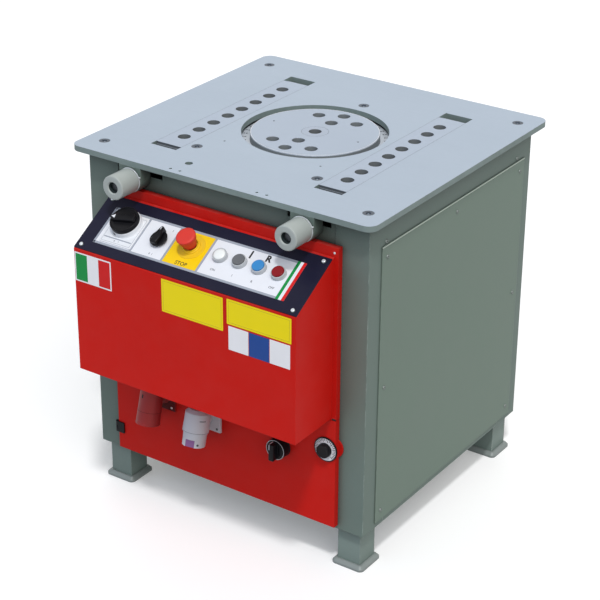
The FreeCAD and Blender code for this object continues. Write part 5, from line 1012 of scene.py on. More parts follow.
@dataclass
class Legend(OnPlate):
    """The printed film on the control plate: four sections in a grey frame, with marks."""

    left: float = -237.0
    right: float = 228.0
    low: float = 24.5
    high: float = 116.0
    border: float = 5.0
    dividers: Triple = (-145.0, -67.0, 18.5)
    stripes_from: float = 208.0
    bezel: float = 14.9
    stop_neck: float = 14.7
    thin: float = 0.12

    def build(self) -> None:
        """Make the film's sections, the frame, the stripes and the marks."""
        vs, half = (self.low + self.border, self.high - self.border), self.border / 2
        first, second, third = self.dividers
        switch = plain_sheet((self.left + self.border, first - half), vs, self.base, self.film)
        self.add("legend_switch_section", switch, Print.WHITE)
        mode = holed_sheet((first + half, second - half), vs, (*self.mode, self.bezel), self.base, self.film)
        self.add("legend_mode_section", mode, Print.WHITE)
        hole = (*self.stop, self.stop_neck)
        stop = holed_sheet((second + half, third - half), vs, hole, self.base, self.film)
        self.add("legend_stop_section", stop, Print.YELLOW)
        middles = [(a + b) / 2 for a, b in zip(self.buttons, self.buttons[1:])]
        edges = [third + half, *middles, self.stripes_from]
        cells = [holed_sheet((a + 0.01, b - 0.01), vs, (u, self.buttons_v, self.bezel), self.base, self.film)
                 for a, b, u in zip(edges, edges[1:], self.buttons)]
        self.add("legend_button_section", joined(cells), Print.WHITE)
        outline = rectangle((self.right - self.left) / 2, (self.high - self.low) / 2, 0.8, 2)
        outline = outline + ((self.left + self.right) / 2, (self.low + self.high) / 2)
        lines = [plain_sheet((u - half, u + half), vs, self.base, self.film, 0.2) for u in self.dividers]
        rim = band(outline, self.border, self.base, self.film)
        self.add("legend_frame", joined([rim, *lines]), Print.GREY)
        wide = (self.right - self.stripes_from) / 3
        for k, ink in enumerate((Print.GREEN, Print.WHITE, Print.RED)):
            start = self.stripes_from + k * wide
            sheet = plain_sheet((start, start + wide), (self.low, self.high), self.base + self.film, 0.1, 0.1)
            self.add(f"legend_stripe_{ink.name.lower()}", sheet, ink)
        self.words()

    def words(self) -> None:
        """Generic marks beside the devices."""
        top, thin, v = self.base + self.film, self.thin, self.buttons_v
        (mode_u, mode_v), (stop_u, stop_v), (_, grey_u, blue_u, _) = self.mode, self.stop, self.buttons
        marks = [
            plain_sheet((-1.9, 1.9), (-9, 9), 0, thin).moved(grey_u + 12, v + 24, top),
            lettering("R", 14.5, thin, 0.055).moved(blue_u + 6, v + 25, top),
            lettering("0", 5.5, thin).moved(mode_u - 12, mode_v + 29, top),
            lettering("I", 5.5, thin).moved(mode_u + 14, mode_v + 29, top),
            lettering("STOP", 8.5, thin, 0.015).moved(stop_u, stop_v - 42, top),
        ]
        self.add("legend_marks", joined(marks), Print.BLACK)
        captions = zip(("ON", "I", "R", "OFF"), self.buttons)
        small = [lettering(word, 5.2, thin, 0.01).moved(u, v - 32, top) for word, u in captions]
        small.append(lettering("0  I", 5.0, thin).moved(mode_u - 2, mode_v - 34, top))
        self.add("legend_captions", joined(small), Print.FAINT)
        ring = band(circle(self.stop_ring), 0.7, top, thin)
        self.add("legend_stop_ring", ring.moved(stop_u, stop_v), Print.FAINT)


@dataclass
class Labels(Assembly):
    """Blank labels on the control box's front, each with its left, right, lower and upper edge."""

    film: float = 0.25
    rim: float = 3.0
    stripes: Quad = (-269.0, -175.0, 552.0, 616.0)
    notice: Quad = (-48.0, 101.0, 545.5, 616.5)
    note: Quad = (110.0, 260.0, 564.5, 618.0)
    row: Quad = (113.0, 258.0, 510.0, 561.0)

    def build(self) -> None:
        """Make the striped label, the two yellow ones and the row of three."""
        a, b, c, d = self.stripes
        self.add("stripe_label_rim", plain_sheet((a, b), (c, d), 0.0, self.film, 1.0), Print.STICKER_AND_HIGHLIGHT)
        wide = (b - a - 2 * self.rim) / 3
        for k, ink in ((0, Print.GREEN), (2, Print.RED)):
            start = a + self.rim + k * wide
            stripe = plain_sheet((start, start + wide), (c + self.rim, d - self.rim), self.film, 0.1, 0.2)
            self.add(f"stripe_label_{ink.name.lower()}", stripe, ink)
        for name, (a, b, c, d) in (("notice_label", self.notice), ("note_label", self.note)):
            self.add(name, plain_sheet((a, b), (c, d), 0.0, self.film, 1.5), Print.LABEL_YELLOW)
            line = band(rectangle((b - a) / 2 - 4, (d - c) / 2 - 4, 1.0, 2), 0.5, self.film, 0.05)
            self.add(name + "_line", line.moved((a + b) / 2, (c + d) / 2), Print.OLIVE)
        a, b, c, d = self.row
        wide = (b - a) / 3
        for k, ink in enumerate((Print.STICKER_AND_HIGHLIGHT, Print.BLUE, Print.STICKER_AND_HIGHLIGHT)):
            cell = (a + k * wide + 0.6, a + (k + 1) * wide - 0.6)
            self.add(f"row_label_{k + 1}", plain_sheet(cell, (c, d), 0.0, self.film, 0.8), ink)


@dataclass
class PushButtons(OnPlate):
    """Signal lamp and three push buttons in pale bezels, and the mode selector's low bezel."""

    bezel_radius: float = 14.75
    bezel_high: float = 10.0
    low_bezel_high: float = 3.0
    cap_radius: float = 12.4
    cap_low: float = 7.5
    cap_high: float = 13.0
    dome: float = 3.0

    def build(self) -> None:
        """Make the bezels, the lamp and the buttons."""
        rings = [self.bezel(self.bezel_high).moved(u, self.buttons_v) for u in self.buttons]
        rings.append(self.bezel(self.low_bezel_high).moved(*self.mode))
        self.add("button_bezel_rings", joined(rings), Look.BEZEL_GREY, node="button_bezels")
        lamp, *seats = [self.seat.at(u, self.buttons_v) for u in self.buttons]
        self.add("signal_lamp_lens", self.lens(), Look.LAMP_WHITE, lamp, node="signal_lamp")
        looks = (("grey", Look.GREY_PLASTIC), ("blue", Look.BLUE_PLASTIC), ("red", Look.DARK_RED_PLASTIC))
        for (tone, look), seat in zip(looks, seats):
            self.add(tone + "_button_cap", self.cap(), look, seat, tone + "_push", tone + "_button")

    def bezel(self, high: float) -> Shape:
        """A collar with a rounded lip over its barrel; a high one has a fine groove above its foot.

        Args:
            high: its height over the plate.

        Returns:
            The collar.
        """
        base, top, outer = self.base, self.base + high, self.bezel_radius
        inner, floor = self.cap_radius + self.play, base + min(2.5, high / 2)
        groove = [(outer, base + 1.4, 0.2), (outer - 0.5, base + 1.8), (outer - 0.5, base + 2.4),
                  (outer, base + 2.8, 0.2)]
        return turned([*self.barrel(base, 0.5), (outer, base), *(groove if high > 5 else []),
                       (outer, top, 0.9), (inner, top, 0.5), (inner, floor), (self.stem + 0.1, floor)])

    def cap(self) -> Shape:
        """A cap on its stem, with a rounded rim and a slightly dished face."""
        radius, under, top = self.cap_radius, self.base + self.cap_low, self.base + self.cap_high
        return turned([*self.core(under), (radius, under, 0.3), (radius, top - 0.5, 1.0),
                       (radius - 1.6, top, 0.8), (radius - 3.4, top - 0.5, 1.5), (0, top - 0.9)])

    def lens(self) -> Shape:
        """A domed lens on its stem: height = top - dome + dome * sqrt(1 - (r / R) ** 2).

        Returns:
            The lens.
        """
        under, top = self.base + self.cap_low, self.base + self.cap_high
        radius = np.linspace(self.cap_radius, 0, 14)
        rise = self.dome * np.sqrt(1 - (radius / self.cap_radius) ** 2)
        foot = rounded([*self.core(under), (self.cap_radius, under)])
        return lathe(np.concatenate([foot, np.stack([radius, top - self.dome + rise], -1)]))


@dataclass
class MainSwitch(OnPlate):
    """White square plate with a round collar, and the black knob with its grip bar."""

    wide: float = 78.0
    long: float = 76.0
    thick: float = 2.5
    up: float = 13.0
    turn: float = 12.0
    collar_radius: float = 33.0
    collar_high: float = 10.0
    radius: float = 31.0
    knob_high: float = 10.0
    grip_wide: float = 16.0
    grip_high: float = 18.0

    def build(self) -> None:
        """Make the plate with its collar, the frame line, the strip, the caption and the collar's slot."""
        seat, axis = self.seat.at(*self.switch), self.seat.at(self.switch[0], self.switch[1] + self.up)
        top, radius = self.base + self.thick, self.collar_radius
        collar_top = top + self.collar_high
        plate = loft(rectangle(self.wide / 2, self.long / 2, 2.5), edge_levels(self.base, top, 0.8))
        collar = turned([*self.barrel(top - 0.4), (radius, top - 0.4), (radius, top + 1.2, 0.3),
                         (radius - 0.7, top + 1.8, 0.3), (radius - 0.9, collar_top, 0.9),
                         (self.stem + 0.1, collar_top)], 96)
        base = joined([plate, collar.moved(0, self.up)])
        self.add("main_switch_base", base, Look.WHITE_PLASTIC, seat, node="main_switch_plate")
        u, v = self.wide / 2 - 3, self.long / 2 - 3
        line = band(rectangle(u, v, 1.2, 3), 0.6, top, 0.12)
        strip = plain_sheet((-u + 2, u - 2), (-v + 9.4, -v + 11.8), top, 0.15)
        self.add("main_switch_strip", joined([line, strip]), Print.GREY, seat)
        words = lettering("0     I", 4.0, 0.1).moved(0, -v + 5, top + 0.05)
        self.add("main_switch_caption", words, Print.FAINT, seat)
        slot = sector(radius - 1.5, radius - 0.4, (238, 257), top + 2.0, top + 8.6)
        self.add("main_switch_slot", slot, Look.BLACK_PLASTIC, axis)
        self.knob(axis.at(turn=self.turn), collar_top + self.play)

    def knob(self, seat: Seat, low: float) -> None:
        """The round knob with a raised rim, its grip bar and the pointer on it.

        Args:
            seat: the knob's axis.
            low: height of its underside.
        """
        top, level, radius = low + self.knob_high, low + self.grip_high, self.radius
        disc = turned([*self.core(low), (radius - 0.6, low, 0.3), (radius, low + 1.4, 0.6),
                       (radius - 0.3, top, 1.3), (radius - 2.6, top, 0.6), (radius - 3.4, top - 1.6, 0.6),
                       (0, top - 1.6)], 96)
        reach, half = radius - 1.2, self.grip_wide / 2
        outline = rounded([(-reach, 0, 2.5), (-reach + half, -half, 3), (reach - 2, -half, 4),
                           (reach - 2, half, 4), (-reach + half, half, 3)])
        knob = joined([disc, loft(outline, edge_levels(low + 1, level, 2.2, 5))])
        self.add("main_switch_handle", knob, Look.BLACK_PLASTIC, seat, "main_switch", "main_switch_knob")
        pointer = rounded([(-reach + 4.5, 0, 0.3), (-reach + 13.5, -4.6, 0.4), (-reach + 13.5, 4.6, 0.4)], 3)
        mark = loft(pointer, np.array([[0.0, level - 0.05], [0.0, level + 0.12]]))
        self.add("main_switch_pointer", mark, Print.WHITE, seat, "main_switch")


@dataclass
class ModeSelector(OnPlate):
    """Black selector: a round skirt and a wing whose tip points up the slope."""

    low: float = 3.3
    skirt_low: float = 16.5
    skirt: float = 18.8
    skirt_high: float = 6.5
    back: float = 17.0
    front: float = 23.0
    wide: float = 18.0
    heel: float = 14.0
    tip: float = 5.0
    high: float = 16.5

    def build(self) -> None:
        """Make the knob and its pointer line."""
        seat, under = self.seat.at(*self.mode), self.base + self.low
        top, level = under + self.skirt_high, under + self.high
        disc = turned([*self.core(under), (self.skirt_low, under, 0.5), (self.skirt, top - 0.6, 0.6),
                       (self.skirt - 1.0, top, 0.5), (0, top)])
        half, heel, tip = self.wide / 2, self.heel / 2, self.tip / 2
        outline = rounded([(heel, -self.back, 2.5), (half, 0, 8), (tip, self.front, 1.0),
                           (-tip, self.front, 1.0), (-half, 0, 8), (-heel, -self.back, 2.5)], 4)
        knob = joined([disc, loft(outline, edge_levels(under + 0.5, level, 2.4, 5))])
        self.add("mode_selector_handle", knob, Look.BLACK_PLASTIC, seat, node="mode_selector_knob")
        line = plain_sheet((-0.7, 0.7), (self.front - 9, self.front - 2.2), level - 0.1, 0.2, 0.3)
        self.add("mode_selector_pointer", line, Print.WHITE, seat)


@dataclass
class EmergencyStop(OnPlate):
    """Yellow collar with its wide ring, and the red mushroom head."""

    stem: float = 9.0
    ring_thick: float = 1.5
    neck: float = 14.5
    neck_high: float = 8.5
    neck_low: float = 10.5
    head: float = 20.5
    head_low: float = 25.0
    head_high: float = 38.0
    lip: float = 17.6

    def build(self) -> None:
        """Make the collar and the head."""
        seat, base, ring, lip = self.seat.at(*self.stop), self.base, self.stop_ring, self.lip
        level, rim, neck = base + self.ring_thick, base + self.neck_high, self.neck
        collar = turned([*self.barrel(base), (ring, base), (ring, level, 0.7), (lip + 1.6, level, 0.4),
                         (lip + 1.0, level + 3.2, 1.0), (lip - 0.8, level + 3.6, 0.4), (lip - 1.2, rim, 0.9),
                         (neck + 0.6, rim, 0.6), (neck + 0.6, base + 1.5), (self.stem + 0.1, base + 1.5)])
        self.add("estop_yellow_collar", collar, Look.YELLOW_PLASTIC, seat, node="estop_collar")
        low, under, top, wide = base + self.neck_low, base + self.head_low, base + self.head_high, self.head
        head = turned([*self.core(low), (neck - 0.4, low, 0.4), (neck + 0.3, under - 10, 3.0),
                       (wide - 1.6, under + 1.6, 3.0), (wide - 0.5, top - 5.2, 1.0), (wide, top - 3.6, 1.0),
                       (wide - 0.6, top - 1.4, 1.4), (wide - 4.5, top, 3.0), (0, top)])
        self.add("estop_red_head", head, Look.STOP_RED, seat, "emergency_stop", "estop_head")


@dataclass
class DoorSelector(Assembly):
    """Black selector on the door: a round base with a pale ring line, and a grip with a pointer line."""

    place: Pair = (148.5, 246.0)
    radius: float = 22.2
    foot: float = 23.6
    long: float = 21.0
    rim: float = 1.8
    grip_wide: float = 12.4
    grip_half: float = 19.0
    grip_high: float = 17.0
    spindle: float = 3.0
    play: float = 0.3

    def build(self) -> None:
        """Make the base, its ring line, the grip and the pointer line."""
        seat, radius, long, rim = self.seat.at(*self.place), self.radius, self.long, self.rim
        inner, bore = radius - rim, self.spindle + 0.1
        base = turned([*shaft(bore, BARREL, -8, 0), (self.foot, 0, 0.3), (self.foot, 1.6, 0.5),
                       (radius + 0.7, 2.4, 0.4), (radius, long, 0.3), (inner, long, 0.3), (inner, long - rim),
                       (bore, long - rim)])
        self.add("door_selector_body", base, Look.BLACK_PLASTIC, seat, node="door_selector_base")
        line = washer(inner + 0.2, radius - 0.2, long - 0.1, long + 0.12)
        self.add("door_selector_ring", line, Look.BEZEL_GREY, seat)
        low, half, end, inside = long - rim + self.play, self.grip_wide / 2, self.grip_half, inner - self.play
        top = low + self.grip_high
        face = turned([*shaft(0, self.spindle, 0, low), (inside, low, 0.2), (inside, low + rim, 0.4),
                       (0, low + rim)])
        grip = joined([face, loft(rectangle(half, end, 2.2), edge_levels(low + 1, top, 1.4))])
        self.add("door_selector_handle", grip, Look.BLACK_PLASTIC, seat, "door_selector",
                 "door_selector_knob")
        us = (-half + 1.6, -half + 3.2)
        front = plain_sheet(us, (end - 12.5, end - 1.2), top - 0.1, 0.22, 0.3)
        side = plain_sheet(us, (low + 2, top - 1.2), end - 0.1, 0.22, 0.3)
        line = joined([front, Shape(side.points[:, [0, 2, 1]], side.faces)])
        self.add("door_selector_pointer", line, Print.WHITE, seat, "door_selector")


@dataclass
class Dial(Assembly):
    """Round setting dial: black plate, white scale ring with ticks, plain black knob."""

    place: Pair = (258.0, 276.0)
    radius: float = 27.0
    thick: float = 3.0
    scale: Pair = (15.0, 24.6)
    knob: float = 15.5
    knob_long: float = 11.0
    spindle: float = 3.0
    play: float = 0.3
    ticks: int = 28
    tick_from: Pair = (17.4, 19.6)
    tick_half: float = 2.0
    swing: Pair = (-45.0, 225.0)

    def build(self) -> None:
        """Make the plate, the scale and the knob; every third tick is long."""
        seat, thick, wide, bore = self.seat.at(*self.place), self.thick, self.knob, self.spindle + 0.1
        inner, outer = self.scale
        plate = turned([*shaft(bore, BARREL, -8, 0), (self.radius, 0), (self.radius, thick, 0.9),
                        (outer + 0.5, thick, 0.2), (outer + 0.2, thick - 0.3), (bore, thick - 0.3)], 96)
        self.add("dial_back_plate", plate, Look.BLACK_PLASTIC, seat, node="dial_plate")
        arcs = [sector(inner, outer, (turn, turn + 90), thick - 0.3, thick - 0.05)
                for turn in (0, 90, 180, 270)]
        self.add("dial_scale_ring", joined(arcs), Print.WHITE, seat)
        marks = [
            sector(self.tick_from[bool(k % 3)], outer - 0.3, (turn - self.tick_half, turn + self.tick_half),
                   thick - 0.1, thick + 0.05)
            for k, turn in enumerate(np.linspace(*self.swing, self.ticks))
        ]
        self.add("dial_ticks", joined(marks), Print.BLACK, seat)
        low = thick + self.play
        top = low + self.knob_long
        knob = turned([*shaft(0, self.spindle, 0, low), (wide, low, 0.4), (wide - 0.7, top - 0.6, 1.2),
                       (wide - 3.0, top, 1.2), (wide - 5.0, top - 0.4, 1.0), (0, top - 0.6)])
        self.add("dial_black_knob", knob, Look.BLACK_PLASTIC, seat, "dial", "dial_knob")


@dataclass
class Sockets(Assembly):
    """Seams, slots and screws on the power inlet and on the pedal socket, and painted shade on the inlet's
    flange.
    """

    tilt: float = 15.0
    inlet: Triple = (-157.0, 275.5, 36.0)
    pedal: Triple = (-36.0, 261.0, 37.6)
    inlet_radius: float = 25.3
    inlet_flange: float = 75.0
    inlet_neck: float = 27.0
    pedal_radius: float = 27.6
    pedal_flange: float = 70.0
    barrel_radius: float = 24.6
    inset: float = 8.0
    flange_face: float = 5.0
    screw_rise: float = 1.5

    def hung(self, place: Triple) -> Seat:
        """The seat of a shroud: its axis leans forward and down from its neck, at (x, z, out)."""
        c, s = math.cos(math.radians(self.tilt)), math.sin(math.radians(self.tilt))
        return Seat(self.seat.at(*place).origin, RIGHT, (0.0, -c, s), (0.0, -s, -c))

    def build(self) -> None:
        """Make the painted shade on the inlet's flange, the trims and the flange screws of both."""
        (x, z, _), half = self.inlet, self.inlet_flange / 2
        hole = (x, z, self.inlet_neck)
        # painted shade: a dark maroon sheet over the inlet's flange face
        face = holed_sheet((x - half, x + half), (z - half, z + half), hole, self.flange_face, 0.25)
        self.add("inlet_flange_face", face, Print.MAROON_SEAM_AND_SHADE)
        self.inlet_trims()
        self.pedal_trims()
        low, top = self.flange_face + self.screw_rise - 0.6, self.flange_face + self.screw_rise + 0.5
        head = turned([(0, low), (2.7, low), (2.7, top, 0.5), (0, top + 0.4)], 32)
        for name, (x, z, _), wide, look in (
            ("inlet_flange_screws", self.inlet, self.inlet_flange, Look.BRIGHT_STEEL),
            ("pedal_flange_screws", self.pedal, self.pedal_flange, Look.AXLE_STEEL),
        ):
            at = wide / 2 - self.inset
            self.add(name, copies(head, [(x + i * at, z + j * at) for i in SIDES for j in SIDES]), look)

    def inlet_trims(self) -> None:
        """A seam a third up from the mouth, a bead round the mouth and a small slot near the top."""
        seat, radius = self.hung(self.inlet), self.inlet_radius
        bead = washer(radius - 2, radius + 0.9, 53.6, 56.8, rim=(0.4, 0.6))
        self.add("inlet_mouth_bead", bead, Look.MAROON_PLASTIC, seat)
        self.add("inlet_seam", washer(radius - 1, radius + 0.12, 27.5, 28.3), Print.MAROON_SEAM_AND_SHADE, seat)
        self.add("inlet_slot", sector(radius - 1, radius - 0.2, (98, 106), -9, -1), Look.BLACK_PLASTIC, seat)

    def pedal_trims(self) -> None:
        """A seam at the rim, a short slot on the right side, and a screw low on the barrel."""
        seat, radius = self.hung(self.pedal), self.pedal_radius
        self.add("pedal_socket_seam", washer(radius - 1, radius + 0.1, 20.6, 21.2), Print.FAINT, seat)
        slot = sector(radius - 1.2, radius - 0.45, (14, 44), -7.2, -5.4)
        self.add("pedal_socket_slot", slot, Print.DARK_MARK_AND_SHADE, seat)
        screw = washer(0, 2.4, -1, 0.45, 32, (0, 0.3))
        self.add("pedal_socket_screw", screw, Look.AXLE_STEEL, seat.around(36, self.barrel_radius - 0.1, 46))


@dataclass
class Rollers(Assembly):
    """Two front rollers of grey plastic, each with a metal ring behind it."""

    radius: float = 25.5
    edge: float = 2.6
    mouth: float = 11.4
    mouth_edge: float = 1.8
    mouth_deep: float = 14.0
    bore: float = 8.06
    ring_proud: float = 0.6
    ring_inner: float = 17.0

    def build(self) -> None:
        """Make each roller's turning sleeve, a dark cup of painted shade in its mouth, and the ring with its
        small screw.
        """
        for side in ("left", "right"):
            node, body = "roller_" + side, side + "_roller"
            low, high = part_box(node)
            seat = Seat(((low.x + high.x) / 2, high.y, (low.z + high.z) / 2))
            long, mouth, bore = (high.y - low.y) / MM, self.mouth, self.bore
            floor = long - self.mouth_deep
            sleeve = turned([(bore, 0), (self.radius, 0, 1.6), (self.radius, long, self.edge),
                             (mouth + self.mouth_edge, long, 0.6), (mouth, long - self.mouth_edge, 0.6),
                             (mouth, floor), (bore, floor)], 96, 6)
            self.add(node + "_sleeve", sleeve, Look.ROLLER_GREY, seat, body, node)
            # painted shade: a dark cup lining the mouth's floor and wall
            outer, rim, foot = mouth - 0.05, long - 2.4, floor + 0.1
            cup = turned([(bore, foot), (outer, foot), (outer, rim), (outer - 0.6, rim),
                          (outer - 0.6, foot + 0.6), (bore, foot + 0.6)])
            self.add(node + "_cavity", cup, Print.CAVITY, seat, body)
            outer = self.radius + self.ring_proud
            ring = washer(self.ring_inner, outer, -2.2, -1.2, 96, (0.3, 0.3))
            self.add(node + "_ring", ring, Look.BRIGHT_STEEL, seat)
            screw = washer(0, 1.8, 0, 4.2, 24, (0, 0.5))
            self.add(node + "_ring_screw", screw, Look.BRIGHT_STEEL, seat.around(22, outer - 1.5, -1.6))


@dataclass
class TableDetails(Assembly):
    """Screw heads, seams and small marks of the working table and the disc, with painted highlight and
    painted shade on them.
    """

    corner: Pair = (319.4, 289.7)
    front: Pair = (147.0, -205.5)
    back: Pair = (0.0, 190.0)
    head: float = 12.3
    head_deep: float = 5.0
    across: float = 10.0
    socket_deep: float = 4.2
    sunk: float = 0.6
    strip_x: float = 200.0
    strip_wide: float = 64.0
    strip_ends: Pair = (-230.0, 221.0)
    seam: float = 0.7
    recess: float = 62.0
    dots: Pair = (118.0, -151.0)
    dot: float = 2.3
    disc_dots: Pair = (105.0, 5.0)
    disc_y: float = 4.0
    disc_drop: float = 1.5
    bush: float = 28.5
    disc_radius: float = 135.0
    ring_radius: float = 160.0
    ring_drop: float = 18.0
    ring_rows: Pair = (145.5, 151.0)
    ring_pairs: int = 48
    # groove: width of the band of painted shade in the gap round the stop ring
    groove: float = 3.2
    under: float = 0.02

    def build(self) -> None:
        """Make the screw heads, the seams and the marks."""
        self.screws()
        self.strips()
        self.marks()

    def screws(self) -> None:
        """Seven sunk heads with six-sided sockets."""
        places = [(i * self.corner[0], j * self.corner[1]) for i in SIDES for j in SIDES]
        places += [(side * self.front[0], self.front[1]) for side in SIDES] + [self.back]
        top = -self.sunk
        head = socket_head(self.head, top - self.head_deep, top, self.across, self.socket_deep, 0.8)
        shank = washer(0, 6, -18, -self.head_deep, 32)
        heads = copies(joined([head, shank]), places)
        self.add("table_screw_heads", heads, Look.DARK_SCREW, node="table_screws")

    def strips(self) -> None:
        """Fine dark lines along both inlaid strips, and on their front ends a band of painted shade, a line
        and ticks.
        """
        wide, half = self.strip_wide / 2, self.recess / 2
        xs = [side * self.strip_x + way * wide for side in SIDES for way in SIDES]
        lines = [plain_sheet((x - self.seam / 2, x + self.seam / 2), self.strip_ends, -self.under, 0.05, 0.1)
                 for x in xs]
        self.add("strip_seams", joined(lines), Print.SEAM)
        end = Seat(self.seat.at(0, self.strip_ends[0]).origin)
        # painted shade: a dark band for the strip's end face in the recess
        shade = plain_sheet((-half, half), (-2.9, -0.5), 0, 0.2, 0.1)
        ticks = [plain_sheet((u - 0.7, u + 0.7), (-10.6, -8.2), 0, 0.2, 0.1)
                 for u in np.linspace(-half + 3, half - 3, 13)]
        line = plain_sheet((-half, half), (-7.0, -5.6), 0, 0.2, 0.1)
        for side, word in zip(SIDES, ("left", "right")):
            seat = end.at(side * self.strip_x)
            self.add(f"strip_end_{word}_marks", joined([shade, *ticks]), Print.DARK_MARK_AND_SHADE, seat)
            self.add(f"strip_end_{word}_line", line, Print.GREY, seat)

    def marks(self) -> None:
        """Dots, seam of the bush, a painted highlight on the disc's rim, and painted shade in the gap round
        the stop ring and in its holes.
        """
        dot = washer(0, self.dot, -self.under, 0.06, 24)
        table_dots = copies(dot, [(side * self.dots[0], self.dots[1]) for side in SIDES])
        self.add("table_dots", table_dots, Print.DARK_MARK_AND_SHADE)
        u, v = self.disc_dots
        disc_dots = copies(dot, [(side * u, v, -self.disc_drop) for side in SIDES])
        self.add("disc_dots", disc_dots, Print.DARK_MARK_AND_SHADE, body="turntable")
        for name, radius, steps, wide, drop, thick, ink in (
            ("bush_seam", self.bush, 96, 0.45, self.disc_drop, 0.06, Print.DARK_MARK_AND_SHADE),
            # painted highlight: a white band along the disc's rim
            ("disc_rim_line", self.disc_radius - 1.2, 144, 0.9, self.disc_drop, 0.08, Print.STICKER_AND_HIGHLIGHT),
            # painted shade: a black band in the gap between the stop ring and the table's wall
            ("angle_ring_groove", self.ring_radius - 0.1, 144, self.groove, self.ring_drop, 0.08,
             Print.BLACK),
        ):
            line = band(circle(radius, steps), wide, -drop - self.under, thick)
            self.add(name, line.moved(0, self.disc_y), ink, body="turntable")
        # painted shade: dark dots over the stop ring's holes
        spots = [(radius * c, radius * s + self.disc_y, -self.ring_drop)
                 for c, s in circle(1.0, self.ring_pairs) for radius in self.ring_rows]
        holes = copies(washer(0, self.dot, -self.under, 0.08, 12), spots)
        self.add("angle_ring_holes", holes, Print.DARK_MARK_AND_SHADE, body="turntable")


@dataclass
class PanelTrims(Assembly):
    """Rivets of the upper red panel, bright domes of the control plate's screws, the folded upper edges of
    the side panels, painted lighter as a highlight, and painted shade at the end of the gap between the upper
    panel and the door."""

    plate: Seat
    rivets: Pair = (271.0, 708.0)
    screw_column: float = 257.0
    screw_rows: Pair = (12.0, 131.0)
    lip_high: float = 2.8
    lip_proud: float = 0.9
    gap_from: float = 271.0
    gap_high: float = 3.4
    film: float = 0.25

    def build(self) -> None:
        """Make them all."""
        rivet = turned([(0, -0.5), (2.6, -0.5), (2.2, 0.9, 0.6), (0, 1.2)], 32)
        rivets = copies(rivet, [(side * self.rivets[0], self.rivets[1]) for side in SIDES])
        self.add("panel_rivets", rivets, Look.BRIGHT_STEEL)
        dome = turned([(0, 3.6), (3.9, 3.6), (3.9, 4.8, 0.4), (2.8, 5.4, 0.8), (0, 5.6)], 32)
        domes = copies(dome, [(side * self.screw_column, v) for side in SIDES for v in self.screw_rows])
        self.add("plate_screw_domes", domes, Look.BRIGHT_STEEL, self.plate)
        for way, word in zip(SIDES, ("left", "right")):
            low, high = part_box(word + "_panel")
            place = (high.x if way > 0 else low.x, (low.y + high.y) / 2, high.z)
            seat = Seat(place, (0.0, float(way), 0.0), UP, (float(way), 0.0, 0.0))
            half = (high.y - low.y) / 2 / MM
            # painted highlight: the real folded lip, in a lighter paint that stands for a highlight line
            lip = plain_sheet((-half, half), (-self.lip_high, 0), -0.1, self.lip_proud, 0.3)
            self.add(f"{word}_panel_lip", lip, Look.LIP_HIGHLIGHT_PAINT, seat)
        low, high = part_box("upper_front_panel")
        foot = low.z / MM
        # painted shade: a black strip at the end of the gap between the upper panel and the door
        mark = plain_sheet((self.gap_from, high.x / MM), (foot, foot + self.gap_high), 0, self.film, 0.2)
        self.add("panel_gap_end", mark, Print.BLACK, Seat((0.0, low.y, 0.0)))


@dataclass(frozen=True)
class Lamp:
    """An even lamp, as soft as a large window: it lights from a place towards the object."""

    name: str
    place: Triple
    strength: float
    angle: float
    tint: Triple = (1.0, 1.0, 1.0)
    mirrored: bool = True

    def build(self, target: Triple) -> None:
        """Make the lamp.

        Args:
            target: the point that it shines at.
        """
        light = bpy.data.lights.new(self.name, "SUN")
        light.energy = self.strength
        light.angle = math.radians(self.angle)
        light.color = self.tint
        lamp = placed(self.name, light)
        lamp.location = self.place
        lamp.rotation_euler = (Vector(target) - Vector(self.place)).to_track_quat("-Z", "Y").to_euler()
        lamp.visible_glossy = self.mirrored


